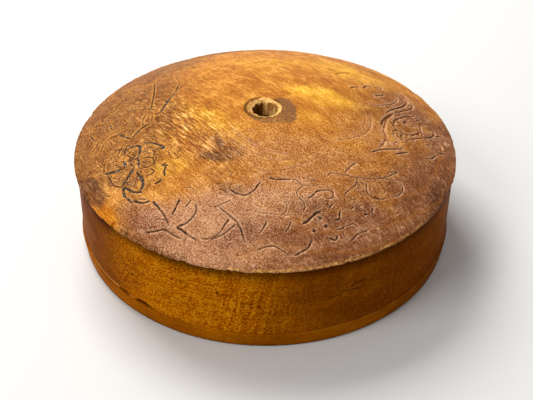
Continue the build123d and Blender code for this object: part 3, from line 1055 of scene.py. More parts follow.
def with_cuts(tree, settings, group, place, leather, colour):
    """The lid's colour with pale lips, partly painted highlight, dark floors, partly painted shade, rubbed-in
    ink and its grey glints at the cuts.
    """
    groove, ink, silver = mask_of(tree, "groove"), mask_of(tree, "ink"), mask_of(tree, "silver")
    # Pale lips along the cuts: partly worn edges, partly a painted highlight along their raised edges.
    lip = times(tree, mask_of(tree, "lip"), ramped(tree, ink, 0.9, 0.1, 0.7, 1.0))
    dusty = maths(tree, "SUBTRACT", maths(tree, "ADD", leather, mask_of(tree, "plum")), silver)
    lip_colour = mixed(tree, ramped(tree, dusty, 0.0, 0.6), settings.scrape, settings.lip)
    colour = mixed(tree, lip, colour, lip_colour)
    # Painted shade in the floors of the cuts: darkened with the stain colour even where no ink is rubbed in,
    # more where it is.
    deep = ramped(tree, groove, 0.15, 0.7)
    dark = times(tree, deep, ramped(tree, ink, 0.0, 1.0, 0.2, 0.85))
    colour = mixed(tree, dark, colour, settings.stain)
    inked = broken(tree, group, place, times(tree, ink, deep), 900.0, 1.6, 1.0)
    colour = mixed(tree, inked, colour, settings.ink)
    glint = ramped(tree, noisy(tree, place, 1500.0, 2.0, 0.6), 0.57, 0.63)
    glint = times(tree, glint, ramped(tree, ink, 0.7, 1.0), silver, ramped(tree, groove, 0.05, 0.3))
    return mixed(tree, glint, colour, settings.glint, 0.8)


def with_raw_wood(tree, settings, group, place, grit, colour):
    """The lid's colour with raw wood at the chips and at the hole's mouth, and dark wood and painted shade
    inside the hole.
    """
    upright = stretched(tree, place, (1, 1, 0.12))
    splinters = ramped(tree, noisy(tree, upright, 1000.0, 3.0, 0.6), 0.36, 0.6, 0.6, 1.3)
    at_rim = ramped(tree, across_radius(tree, place), 0.06, 0.07)
    raw = toned(tree, mixed(tree, at_rim, settings.raw, settings.scrape, 0.7), splinters, 0.5)
    bare = broken(tree, group, place, mask_of(tree, "bare"), 700.0, 0.9, 0.95)
    colour = mixed(tree, bare, colour, raw)
    colour = mixed(tree, times(tree, bare, grit["Dark"]), colour, settings.stain, 0.8)
    bore = broken(tree, group, upright, mask_of(tree, "bore"), 500.0, 0.5, 1.0)
    return mixed(tree, bore, colour, settings.bore)


def lid_material(settings, groups):
    """Worn, stained and dusty wood of the lid's outside, with painted highlight, sheen, glints and shade laid
    on it.
    """
    material, tree, shader, place = new_material("lid_worn_wood")
    rings = {"Ring_Spacing": 0.0034, "Ring_Warp": 0.0042, "Grain_Turn": radians(-GRAIN_TURN)}
    figure = placed_group(tree, groups["figure"], Vector=place, **rings).outputs
    grit = placed_group(tree, groups["grit"], Vector=place, Scale=2000.0, Contrast=1.75).outputs
    leather, torn = mask_of(tree, "leather"), mask_of(tree, "torn")
    colour = lid_finish(tree, settings, groups["mask"], place, figure)
    colour = toned(tree, colour, lid_tone(tree, place, figure, grit, leather), 0.85)
    ringed = times(tree, figure["Ring"], ramped(tree, leather, 0.2, 0.8, 0.35, 0.05))
    colour = mixed(tree, ringed, colour, settings.rust)
    # Raised fibres in the tears, paler, partly as a painted highlight on their ridges.
    raised = times(tree, ramped(tree, figure["Fibre"], 0.54, 0.66), torn)
    colour = mixed(tree, raised, colour, settings.bright, 0.45)
    colour = mixed(tree, times(tree, figure["Streaks"], torn), colour, settings.brown, 0.7)
    colour = mixed(tree, figure["Pores"], colour, settings.rust, 0.4)
    knob = broken(tree, groups["mask"], place, mask_of(tree, "print"), 620.0, 1.1, 0.95)
    colour = mixed(tree, knob, colour, settings.mark, 0.85)
    colour = mixed(tree, times(tree, knob, grit["Dark"]), colour, settings.ink, 0.9)
    # Pale specks over the dusty finish and the knob's mark: painted glints of the rough surface.
    specks = ramped(tree, maths(tree, "MAXIMUM", leather, knob), 0.0, 1.0, 0.15, 0.65)
    specks = times(tree, grit["Pale"], specks, ramped(tree, mask_of(tree, "shade"), 0.0, 1.0, 1.0, 0.2))
    colour = mixed(tree, specks, colour, settings.lip)
    colour = with_cuts(tree, settings, groups["mask"], place, leather, colour)
    colour = with_raw_wood(tree, settings, groups["mask"], place, grit, colour)
    tree.links.new(colour, shader.inputs["Base Color"])
    gloss = ramped(tree, grit["Height"], 0.4, 0.62, 0.38, 0.58)
    gloss = maths(tree, "SUBTRACT", gloss, times(tree, mask_of(tree, "amber"), 0.12))
    tree.links.new(gloss, shader.inputs["Roughness"])
    reflective(shader, 1.15, 0.25, (1.0, 0.86, 0.7))
    bumped(tree, shader, (figure["Fibre"], 0.6, 0.0002), (grit["Height"], 0.9, 0.0005))
    return material


def varnish_material(name, settings, groups, amber, flecks, crackle):
    """Glossy amber varnish over wood whose grain runs round the piece, with painted shade and highlight laid
    on it.
    """
    material, tree, shader, place = new_material(name)
    figure = placed_group(tree, groups["figure"], Vector=place, Ring_Spacing=0.004, Ring_Warp=0.006)
    grit = placed_group(
        tree, groups["grit"], Vector=stretched(tree, place, (0.5, 0.5, 1)), Scale=2200.0, Contrast=1.5
    )
    streak = noisy(tree, stretched(tree, place, (0.16, 0.16, 1)), 620.0, 4.0, 0.65)
    cloud = noisy(tree, stretched(tree, place, (0.6, 0.6, 1)), 45.0, 4.0, 0.6, 0.8)
    leaning = put(tree, "ShaderNodeMapping", {"Vector": place, "Rotation": (0, radians(-12), 0)}).outputs[0]
    ripple = noisy(tree, stretched(tree, leaning, (1, 1, 0.1)), 850.0, 2.0, 0.6)
    fleck = ramped(tree, noisy(tree, stretched(tree, place, (0.4, 0.4, 1)), 420.0, 4.0, 0.7), 0.54, 0.66)
    tone = scaled(tree, streak, 0.4, times(tree, cloud, 0.6))
    # The dark mask: darker figure and varnish, with painted shade on the side away from the lamps.
    tone = maths(tree, "ADD", tone, times(tree, mask_of(tree, "dark"), 0.3))
    colour = mixed(tree, ramped(tree, tone, 0.38, 0.88), amber, settings.brown)
    colour = mixed(tree, figure.outputs["Ring"], colour, settings.brown, 0.15)
    colour = mixed(tree, fleck, colour, settings.brown, flecks)
    waved = ramped(tree, ripple, 0.32, 0.68, 0.5, 1.5)
    waved = softened(tree, waved, scaled(tree, mask_of(tree, "ripples"), 0.26, 0.05))
    grain = ramped(tree, streak, 0.32, 0.68, 0.86, 1.14)
    specks = softened(tree, grit.outputs["Tone"], crackle)
    tone = times(tree, waved, grain, specks)
    tone = softened(tree, tone, ramped(tree, mask_of(tree, "dark"), 0.0, 0.8, 1.0, 0.4))
    colour = toned(tree, colour, maths(tree, "MINIMUM", tone, 1.25), 0.9)
    # Worn varnish, partly a painted highlight on the hoop's lower arris and the base's ledge.
    worn = broken(tree, groups["mask"], place, mask_of(tree, "worn"), 260.0, 0.9, 0.8)
    colour = mixed(tree, worn, colour, settings.scuff)
    # Painted shade with dirt: darker under the lid's rim, along the foot and in the gap under the hoop.
    grime = scaled(tree, mask_of(tree, "grime"), -0.7, 1.0)
    marked = scaled(tree, mask_of(tree, "mark"), -0.85, 1.0)
    colour = shaded(tree, colour, grime, marked)
    tree.links.new(colour, shader.inputs["Base Color"])
    tree.links.new(ramped(tree, streak, 0.3, 0.7, 0.3, 0.42), shader.inputs["Roughness"])
    reflective(shader, 1.04, 0.3, (1.0, 0.5, 0.1))
    bumped(tree, shader, (ripple, 0.5, 0.0003), (grit.outputs["Height"], 0.4, 0.00015))
    return material


def bare_material(name, settings, groups, turned):
    """Unvarnished wood of the inside and the undersides, with a turner's marks or a planed grain."""
    material, tree, shader, place = new_material(name)
    figure = placed_group(tree, groups["figure"], Vector=place, Ring_Spacing=0.0034, Ring_Warp=0.004)
    grit = placed_group(tree, groups["grit"], Vector=place, Scale=1200.0, Contrast=0.5)
    colour = mixed(tree, ramped(tree, figure.outputs["Figure"], 0.35, 0.7), settings.bare, settings.bare_dark)
    colour = mixed(tree, figure.outputs["Ring"], colour, settings.bare_dark, 0.5)
    colour = mixed(tree, figure.outputs["Streaks"], colour, settings.bare_dark, 0.4)
    pores = ramped(tree, figure.outputs["Pores"], 0.0, 1.0, 1.0, 0.72)
    colour = shaded(tree, colour, pores, grit.outputs["Tone"])
    tree.links.new(colour, shader.inputs["Base Color"])
    tree.links.new(ramped(tree, figure.outputs["Fibre"], 0.3, 0.7, 0.62, 0.75), shader.inputs["Roughness"])
    layers = [(figure.outputs["Fibre"], 0.5, 0.00012)]
    if turned:
        turns = times(tree, across_radius(tree, place), 2 * pi / TURNING_PITCH)
        layers.append((maths(tree, "SINE", turns), 0.35, 0.00005))
    bumped(tree, shader, *layers)
    return material


def shared_groups():
    """The node groups, built once."""
    named = bpy.data.node_groups
    if "wood_figure" not in named:
        return {"figure": wood_figure_group(), "mask": broken_mask_group(), "grit": grit_group()}
    return {"figure": named["wood_figure"], "mask": named["broken_mask"], "grit": named["grit"]}


class ROUNDBOX_OT_lid(bpy.types.Operator):
    """Turns the domed lid, cuts its foliage, chips its rim and breaks the mouth of its hole"""

    bl_idname = "roundbox.make_lid"
    bl_label = "Carved Lid"

    def execute(self, context):
        settings = context.scene.round_box_lid
        bm = spun(lid_profile(), settings.spin_steps)
        samples = carving_samples(settings)
        tree = sample_tree(samples)

        def near_cut(point, reach):
            radius = point.xy.length
            above = MOUTH_RADIUS < radius < LID_RADIUS and abs(point.z - float(dome_z(radius))) < 0.3 * MM
            return above and tree.find((point.x, point.y, 0))[2] < reach

        def near_rim(point, reach):
            return point.xy.length > LID_RADIUS - reach and point.z > SEAT_Z - 0.05 * MM

        halve_near(bm, near_rim, RIM_REACHES)
        halve_near(bm, near_cut, CUT_REACHES)
        co = points_of(bm)
        masks = self.shape(settings, co, samples, tree)
        for face in bm.faces:
            centre = face.calc_center_median()
            radius = centre.xy.length
            beneath = centre.z < SEAT_Z + 0.02 * MM or (
                radius < SPIGOT_INNER and centre.z < float(hollow_z(radius)) + 1 * MM
            )
            face.material_index = int(radius > HOLE_RADIUS + 0.1 * MM and beneath)
        move_points(bm, co)
        groups = shared_groups()
        materials = [
            lid_material(settings, groups),
            bare_material("lid_turned_underside", context.scene.round_box_wall, groups, True),
        ]
        finished_piece("lid_carved", bm, "lid", "lid", materials, masks)
        return {"FINISHED"}

    def shape(self, settings, co, samples, tree):
        """Moves the points of the lid's outside in place, and returns the masks that its finish reads."""
        radius = np.hypot(co[:, 0], co[:, 1])
        safe = np.minimum(radius, LID_RADIUS)
        top = (np.abs(co[:, 2] - dome_z(safe)) < 0.06 * MM) & (radius > MOUTH_RADIUS - 1 * MM)
        co[top, 2] = dome_z(safe[top])
        flat = co[:, :2].copy()
        groove, ink, lip = self.cut(co, top, samples, tree)
        level = co[top] * (1, 1, 0)
        wave = rough(level, 22 * MM, 3.0) * 0.14 + rough(level, 5 * MM, 8.0) * 0.05
        co[top, 2] += wave * MM * (1 - smooth_step(LID_RADIUS - 6 * MM, LID_RADIUS - 1 * MM, radius[top]))
        bare = self.chip_rim(settings, co, radius)
        mouth, bore = self.break_mouth(co, flat, radius)
        masks = {name: patch_mask(flat, patches) for name, patches in PATCHES.items()}
        masks["torn"] = patch_mask(flat, [(*TORN_MIDDLE, TORN_LENGTH + 6, TORN_WIDTH + 3, GRAIN_TURN, 1.0)])
        inside = (radius < HOLE_RADIUS + 2 * MM) & (co[:, 2] < APEX_Z - 0.5 * MM)
        masks["print"] = self.knob_print(flat) * ~inside
        azimuth = azimuths(flat)
        edge = smooth_step(LID_RADIUS - 2.6 * MM, LID_RADIUS - 0.5 * MM, radius)
        masks["brown"] = np.maximum(masks["brown"], edge * bell(azimuth, *BROWN_RIM))
        facing = bell(azimuth, *TURNED_RIM)
        masks["turned"] = facing * smooth_step(LID_RADIUS - 17 * MM, LID_RADIUS - 8 * MM, radius)
        leather = masks["dust"] + masks["tan"] * 0.7 + masks["brown"] * 0.3 + masks.pop("rough")
        masks["leather"] = np.clip(leather, 0, 1)
        masks["bare"] = np.clip(bare + mouth, 0, 1)
        return {**masks, "groove": groove, "ink": ink, "lip": lip, "bore": bore}

    def cut(self, co, top, samples, tree):
        """Sinks the strokes into the dome, and returns the masks of the cuts, their colour and their lips."""
        groove, ink, lips = np.zeros(len(co)), np.zeros(len(co)), np.zeros(len(co))
        ragged = rough(co[top] * (1, 1, 0), 0.55 * MM, 2.0) * 0.16 * MM
        for index, shift in zip(np.flatnonzero(top), ragged):
            _, found, distance = tree.find((co[index, 0], co[index, 1], 0))
            if distance < CUT_WIDEST:
                _, half, depth, colour = samples[found]
                share = max(0.0, distance + shift * min(1, distance / half)) / half
                valley = max(0.0, 1 - share) ** 0.8
                lip = bell(share, 1.35, 0.4) * max(0.0, 0.16 + 1.2 * shift / MM)
                slope = co[index] - (0, 0, APEX_Z - DOME_BALL)
                co[index] -= slope / DOME_BALL * depth * (valley - lip)
                marked = min(1, depth / (0.35 * MM))
                groove[index] = valley * marked
                ink[index] = colour
                lips[index] = min(1, 5.5 * lip) * marked**2
        return groove, ink, lips

    def knob_print(self, flat):
        """The dark mark that the lost knob left, strongest at its right."""
        azimuth = azimuths(flat)
        angles, radii, strengths = np.array(PRINT_EDGE).T
        past = np.hypot(flat[:, 0], flat[:, 1]) / MM - np.interp(azimuth, angles, radii)
        return (1 - smooth_step(-0.9, 0.3, past)) * np.interp(azimuth, angles, strengths)

    def chip_rim(self, settings, co, radius):
        """Wears the thin rim into chips and ragged fibres, and returns where the wood is bare."""
        rim = (radius > LID_RADIUS - 4 * MM) & (co[:, 2] > SEAT_Z - 0.05 * MM)
        azimuth, reach, height = azimuths(co[rim]), radius[rim], co[rim, 2]
        points = co[rim] * (1, 1, 0) * (LID_RADIUS / reach)[:, None]
        fringe = np.abs(rough(points, 1.8 * MM, 1.0))
        ragged = fringe * 0.55 + np.abs(rough(points, 4 * MM, 5.0)) * 0.45
        ragged *= 0.5 + 0.9 * bell(azimuth, *RAGGED_RIM)
        chip, raw = np.zeros(rim.sum()), np.zeros(rim.sum())
        for middle, half_width, depth, bareness in RIM_CHIPS:
            away = np.radians((azimuth - middle + 180) % 360 - 180) * LID_RADIUS / MM / half_width
            bite = np.exp(-(away**2)) * (0.7 + 1.2 * fringe)
            chip = np.maximum(chip, depth * bite)
            raw = np.maximum(raw, bareness * bite)
        outer = smooth_step(LID_RADIUS - 3.2 * MM, LID_RADIUS - 0.1 * MM, reach)
        upper = smooth_step(SEAT_Z, SEAT_Z + LID_LAND, height)
        inward = settings.chip_depth * MM * np.minimum(ragged + chip, 1.5) * outer * (0.75 + 0.25 * upper)
        co[rim, :2] *= 1 - (inward / reach)[:, None]
        worn_flat = bell(azimuth, *WORN_RIM) * smooth_step(LID_RADIUS - 4 * MM, LID_RADIUS, reach)
        sunk = (0.5 * ragged + 0.4 * chip) * outer**2 + 0.6 * worn_flat
        co[rim, 2] -= settings.chip_depth * MM * np.minimum(sunk, 0.85) * upper
        bare = np.zeros(len(co))
        at_edge = smooth_step(LID_RADIUS - 0.7 * MM, LID_RADIUS - 0.15 * MM, reach)
        at_edge *= 0.4 + 0.6 * upper
        front = bell(azimuth, *BARE_RIM)
        kept = 1 - 0.85 * bell(azimuth, *CLEAN_RIM)
        bare[rim] = at_edge * kept * (0.7 * raw + 0.3 * ragged + front * (0.25 + 0.6 * fringe))
        return bare

    def break_mouth(self, co, flat, radius):
        """Breaks out the torn ring round the hole, and returns where the wood is raw and where it is dark,
        mostly as painted shade with some dirt.
        """
        mouth = (radius < MOUTH_RADIUS + 0.2 * MM) & (co[:, 2] > APEX_Z - DOME_THICKNESS + 0.5 * MM)
        points, reach = co[mouth].copy(), radius[mouth]
        height = points[:, 2]
        level, clear = points * (1, 1, 0), np.maximum(reach, 1 * MM)
        azimuth = azimuths(points)
        offset = flat[mouth] / MM - TORN_RING_MIDDLE
        jag = rough(level, 1.6 * MM, 4.0) * 0.6 + rough(level, 0.6 * MM, 6.0) * 0.4
        edge = np.hypot(offset[:, 0], offset[:, 1]) / (TORN_RING_RADIUS * (1 + 0.09 * jag))
        on_top = height > APEX_Z - 0.45 * MM
        torn = (1 - smooth_step(0.94, 1.02, edge)) * on_top
        slope = 1 - np.clip((reach - HOLE_RADIUS) / MOUTH_SLOPE, 0, 1)
        left = smooth_step(*MOUTH_LEFT, np.abs(azimuth))
        behind = bell(azimuth, *CRACK_BEHIND) + bell(azimuth, *CRACK_IN_FRONT)
        dots = 0.5 + 1.6 * np.abs(rough(level, 0.7 * MM, 13.0))
        crack = bell(edge, 1.02, 0.06) * on_top * np.clip(left + behind, 0, 1) * dots * (1.2 + 0.8 * jag)
        fibres = np.abs(rough(level, 0.5 * MM, 7.0)) * 0.6 + rough(level, 1.3 * MM, 9.0) * 0.5
        hollow = 0.1 + 1.2 * slope**1.3 - 0.6 * fibres * (1 - 0.6 * slope)
        co[mouth, 2] -= MM * np.clip(torn * hollow, 0, 1.5)
        co[mouth, 2] -= MM * 0.6 * np.clip(crack, 0, 1)
        wall = height < APEX_Z - 0.3 * MM
        streaks = points / clear[:, None] * HOLE_RADIUS
        streaks[:, 2] = height / STREAK_STRETCH
        pulled = rough(streaks, 1.0 * MM, 3.0) * 0.5 + np.abs(rough(streaks, 0.45 * MM, 5.0)) * 0.3
        fade = smooth_step(APEX_Z - DOME_THICKNESS + 0.6 * MM, APEX_Z - 5 * MM, height)
        inner = np.where(on_top, slope**2 * (reach < HOLE_RADIUS + MOUTH_SLOPE), fade)
        around = streaks * (1, 1, 0)
        jagged = rough(around, 2.2 * MM, 1.0) * 0.7 + rough(around, 0.8 * MM, 2.0) * 0.35
        outward = pulled * wall * fade + jagged * inner
        co[mouth, :2] *= 1 + (outward * MM / clear)[:, None]
        bare, bore = np.zeros(len(co)), np.zeros(len(co))
        speckled = 1 - 0.55 * left * (1 - slope)
        front = bell(azimuth, *MOUTH_FRONT) * (1 - slope)
        bare[mouth] = np.clip(torn * (1 - crack) * (0.9 + 0.4 * jag) * speckled * (1 - 0.5 * front), 0, 1)
        bare[mouth] = np.maximum(bare[mouth], 0.9 * (wall & (reach < HOLE_RADIUS + 1.2 * MM)))
        # Painted shade in the hole: darker deeper down, and on its back-left and front walls, away from the
        # lit right; elsewhere random dark streaks of the wood.
        turned = azimuth + 14 * rough(streaks, 1.5 * MM, 8.0)
        behind_left, at_right = BORE_SHADED
        shaded_side = np.clip(smooth_step(*behind_left, turned) + smooth_step(*at_right, azimuth), 0, 1)
        deep = 1 - smooth_step(APEX_Z - 2.6 * MM, APEX_Z - 1.0 * MM, height)
        tan_side = 0.24 * rough(streaks, 0.7 * MM, 2.0) - 0.1
        pits = np.clip(2.4 * np.abs(rough(level, 0.6 * MM, 21.0)) - 0.2, 0, 1) * smooth_step(0.62, 0.85, edge)
        bore[mouth] = deep * np.clip(np.maximum(shaded_side, tan_side), 0, 1)
        # Painted shade with dirt in the crack round the torn ring, and dark pits on its left.
        bore[mouth] += 1.7 * crack + 0.9 * left * torn * pits
        return bare, np.clip(bore, 0, 1)


class ROUNDBOX_OT_wall(bpy.types.Operator):
    """Planes a straight strip to a scarf at both ends and bends it into the hoop"""

    bl_idname = "roundbox.make_wall"
    bl_label = "Bent Hoop"

    def execute(self, context):
        settings = context.scene.round_box_wall
        turn = 2 * pi + SCARF_ANGLE
        height = SEAT_Z - BAND_Z
        bm = bmesh.new()
        bmesh.ops.create_cube(bm, size=1)
        bmesh.ops.translate(bm, vec=(0.5, 0.5, 0.5), verts=bm.verts)
        bmesh.ops.scale(bm, vec=(turn * HOOP_OUTER, HOOP_WALL, height), verts=bm.verts)
        bmesh.ops.bevel(
            bm, geom=bm.edges, offset=HOOP_ARRIS, segments=2, profile=0.5, affect="EDGES", material=-1
        )
        scarf, gap = SCARF_ANGLE * HOOP_OUTER, GAP_ANGLE * HOOP_OUTER
        length = turn * HOOP_OUTER
        along = [edge for edge in bm.edges if abs(edge.verts[0].co.x - edge.verts[1].co.x) > length / 2]
        bmesh.ops.subdivide_edges(bm, edges=along, cuts=HOOP_CUTS_ALONG, use_grid_fill=True)
        for x in (scarf, scarf + gap, length - scarf - gap, length - scarf):
            whole = bm.verts[:] + bm.edges[:] + bm.faces[:]
            bmesh.ops.bisect_plane(bm, geom=whole, plane_co=(x, 0, 0), plane_no=(1, 0, 0), dist=1e-7)
        upright = [edge for edge in bm.edges if abs(edge.verts[0].co.z - edge.verts[1].co.z) > height / 2]
        bmesh.ops.subdivide_edges(bm, edges=upright, cuts=HOOP_CUTS_UP, use_grid_fill=True)
        samples = []
        for width, depth, ink, pixels in HOOP_MARKS:
            samples += stroke_samples([on_hoop(pixel) for pixel in pixels], width * MM, depth * MM, ink)
        tree = sample_tree(samples)

        def near_mark(point, reach):
            return point.y > HOOP_WALL - 0.1 * MM and tree.find((point.x, point.z, 0))[2] < reach

        halve_near(bm, near_mark, MARK_REACHES)
        flat = points_of(bm)
        sunk, dark_mark, pale_mark = self.mark(flat, samples, tree)
        co = self.bend(settings, flat, scarf, gap, length, height)
        co[:, :2] *= 1 - (sunk / np.hypot(co[:, 0], co[:, 1]))[:, None]
        move_points(bm, co)
        bmesh.ops.recalc_face_normals(bm, faces=bm.faces)
        for face in bm.faces:
            centre = face.calc_center_median()
            face.material_index = int(centre.xy.length < HOOP_OUTER - 0.6 * HOOP_WALL)
        azimuth = azimuths(co)
        high = (co[:, 2] - BAND_Z) / height
        # Painted shade, about half of the fall-off, over darker varnish: the hoop darker toward its right,
        # away from the lamps, fading again behind.
        dark = smooth_step(*HOOP_DARKENS, azimuth + 14 * (high - 0.5))
        dark *= 1 - smooth_step(*DARK_FADES, azimuth)
        left = bell((azimuth + 342) % 360, 180, 25, 4)
        low_edge = 1 - smooth_step(BAND_Z + 0.4 * MM, BAND_Z + 1.0 * MM, co[:, 2])
        # Pale scuff on the hoop's lower arris at the front-left: worn varnish, and partly a painted highlight
        # where the rounded edge catches light.
        arris = low_edge * 1.2 * bell(azimuth, *WORN_LIT_HOOP)
        tip = bell(flat[:, 0], length, 0.4 * MM) * (flat[:, 1] > HOOP_WALL / 2) * 0.45
        outside = np.hypot(co[:, 0], co[:, 1]) > HOOP_OUTER - 0.8 * MM
        # Painted shadow with dirt under the lid's overhanging rim, darkest just below it; and painted shade a
        # little darker toward the hoop's top, lifted round the front-left where the hoop is lit.
        grime = smooth_step(SEAT_Z - 7 * MM, SEAT_Z - 0.5 * MM, co[:, 2]) * (1.1 - 0.4 * dark)
        grime += 0.14 * high * (1 - 1.8 * bell(azimuth, *CLEAN_LIT_HOOP))
        masks = {
            "dark": np.maximum(dark, left),
            "worn": np.clip(arris + tip + pale_mark, 0, 1) * outside,
            "grime": grime * outside,
            "mark": dark_mark,
            "ripples": bell(azimuth, *RIPPLED_HOOP),
        }
        groups = shared_groups()
        materials = [
            varnish_material("hoop_varnish", settings, groups, settings.amber, 0.35, 1.0),
            bare_material("hoop_bare_inside", settings, groups, False),
        ]
        finished_piece("wall_bent", bm, "box", "wall_hoop", materials, masks)
        return {"FINISHED"}

    def mark(self, flat, samples, tree):
        """How deep the marks go at each point of the strip, and how dark and how pale they make it."""
        sunk, dark, pale = np.zeros(len(flat)), np.zeros(len(flat)), np.zeros(len(flat))
        for index in np.flatnonzero(flat[:, 1] > HOOP_WALL - 0.1 * MM):
            _, found, distance = tree.find((flat[index, 0], flat[index, 2], 0))
            if distance < MARK_WIDEST:
                _, half, depth, ink = samples[found]
                valley = max(0.0, 1 - distance / half)
                sunk[index] = depth * valley
                soft = smooth_step(1.3, 0.5, distance / half)
                dark[index] = max(0, ink) * soft
                pale[index] = max(0, -ink) * soft
        return sunk, dark, pale

    def bend(self, settings, flat, scarf, gap, length, height):
        """Where each point of the planed strip lies once it is bent."""
        x, y, z = flat.T
        share = y / HOOP_WALL
        outer_face = np.full(len(x), HOOP_WALL)
        inner_face = np.zeros(len(x))
        start = x <= scarf + gap / 2
        outer_face[start] = TIP_LAND + (HOOP_WALL - 2 * TIP_LAND) * np.clip(x[start] / scarf, 0, 1)
        end = x >= length - scarf - gap / 2
        climb = np.clip((x[end] - (length - scarf)) / scarf, 0, 1)
        inner_face[end] = TIP_LAND + GLUE_LINE + (HOOP_WALL - 2 * TIP_LAND) * climb
        proud = TIP_PROUD * smooth_step(length - SWELL_LENGTH, length, x)
        through = inner_face + (outer_face + proud - inner_face) * share
        angle = SEAM_ANGLE - SCARF_ANGLE + x / HOOP_OUTER
        radius = HOOP_INNER + through
        ring = np.stack([np.cos(angle), np.sin(angle), np.zeros(len(x))], 1) * HOOP_OUTER
        low_z = ring + np.stack([np.zeros(len(x)), np.zeros(len(x)), z * 0.25], 1)
        outside = np.clip(share * 2 - 1, 0, 1)
        radius += outside * settings.ripple * (rough(low_z, 4 * MM, 2.0) + 0.8 * rough(low_z, 9 * MM, 9.0))
        radius += rough(ring, 60 * MM, 5.0) * 0.12 * MM
        azimuth = azimuths(ring)
        lifted = sum(share * bell(azimuth, *place) for share, *place in BROKEN_FOOT)
        rise = lifted * settings.spring * (1 - smooth_step(0, 6 * MM, z))
        at_rim = smooth_step(height - 1 * MM, height, z)
        sunk = outside * 0.12 * MM * np.abs(rough(ring, 7 * MM, 12.0)) * at_rim
        place = np.stack([radius * np.cos(angle), radius * np.sin(angle), BAND_Z + z + rise - sunk], 1)
        return place


class ROUNDBOX_OT_base(bpy.types.Operator):
    """Turns the base, whose rebate carries the hoop"""

    bl_idname = "roundbox.make_base"
    bl_label = "Rebated Base"

    def execute(self, context):
        settings = context.scene.round_box_wall
        foot = LEDGE_RADIUS - BASE_TAPER
        profile = straight(
            [
                (0, 0),
                (foot - FOOT_BEVEL, 0),
                (foot - 0.45 * FOOT_BEVEL, 0.15 * FOOT_BEVEL),
                (foot - 0.1 * FOOT_BEVEL, 0.5 * FOOT_BEVEL),
                (foot + 0.05 * MM, 1.1 * FOOT_BEVEL),
                (LEDGE_RADIUS, BAND_Z - 0.4 * MM),
                (LEDGE_RADIUS - 0.1 * MM, BAND_Z - 0.1 * MM),
                (LEDGE_RADIUS - 0.4 * MM, BAND_Z),
                (STEP_RADIUS, BAND_Z),
                (STEP_RADIUS, FLOOR_Z - STEP_BEVEL),
                (STEP_RADIUS - STEP_BEVEL, FLOOR_Z),
                (0, FLOOR_Z),
            ],
            BASE_PITCH,
        )
        near_edge = STEP_RADIUS - 1 * MM
        thin = [point for index, point in enumerate(profile) if point[0] > near_edge or index % 6 == 0]
        if thin[0] != profile[0]:
            thin.insert(0, profile[0])
        if thin[-1] != profile[-1]:
            thin.append(profile[-1])
        bm = spun(thin, BASE_TURNS)
        co = points_of(bm)
        radius = np.hypot(co[:, 0], co[:, 1])
        band = smooth_step(STEP_RADIUS + 0.5 * MM, HOOP_OUTER - 1 * MM, radius)
        ring = co * (1, 1, 0.4)
        push = band * (rough(ring, 30 * MM, 3.0) * 0.1 * MM + rough(ring, 6 * MM, 5.0) * 0.05 * MM)
        push += band * 0.28 * MM * np.abs(co[:, 0]) / np.maximum(radius, 1 * MM)
        co[:, :2] *= 1 + (push / np.maximum(radius, 1 * MM))[:, None]
        move_points(bm, co)
        for face in bm.faces:
            centre = face.calc_center_median()
            varnished_from = foot - FOOT_BEVEL if centre.z < BAND_Z / 2 else STEP_RADIUS
            face.material_index = int(centre.xy.length < varnished_from)
        azimuth = azimuths(co)
        # Painted shade toward the band's right, away from the lamps, over a band that is darker than the hoop
        # all round.
        dark = 0.43 + sum(share * smooth_step(*step, azimuth) for share, *step in BASE_DARKENS)
        dark *= 1 - smooth_step(*DARK_FADES, azimuth)
        # Pale top edge of the ledge toward the right: worn varnish, and partly a painted highlight where the
        # ledge stands proud of the hoop.
        ledge = smooth_step(BAND_Z - 0.7 * MM, BAND_Z - 0.1 * MM, co[:, 2])
        ledge *= smooth_step(*LEDGE_WORN_AND_LIT, azimuth)
        # Painted contact shadow along the foot, and painted shade on the ledge in the gap under the hoop's
        # foot.
        foot_shadow = 1 - smooth_step(0.3 * MM, 1.4 * MM, co[:, 2])
        covered = 1 - smooth_step(HOOP_OUTER - 1.2 * MM, HOOP_OUTER - 0.3 * MM, radius)
        shaded_gap = covered * (co[:, 2] > BAND_Z - 0.05 * MM)
        zero = np.zeros(len(co))
        masks = {"dark": dark, "worn": 0.3 * ledge * band, "mark": zero, "ripples": zero}
        masks["grime"] = np.maximum(foot_shadow * band, shaded_gap)
        groups = shared_groups()
        materials = [
            varnish_material("base_varnish", settings, groups, settings.amber, 0.2, 0.4),
            bare_material("base_turned_faces", settings, groups, True),
        ]
        finished_piece("base_turned", bm, "box", "base_disc", materials, masks)
        return {"FINISHED"}


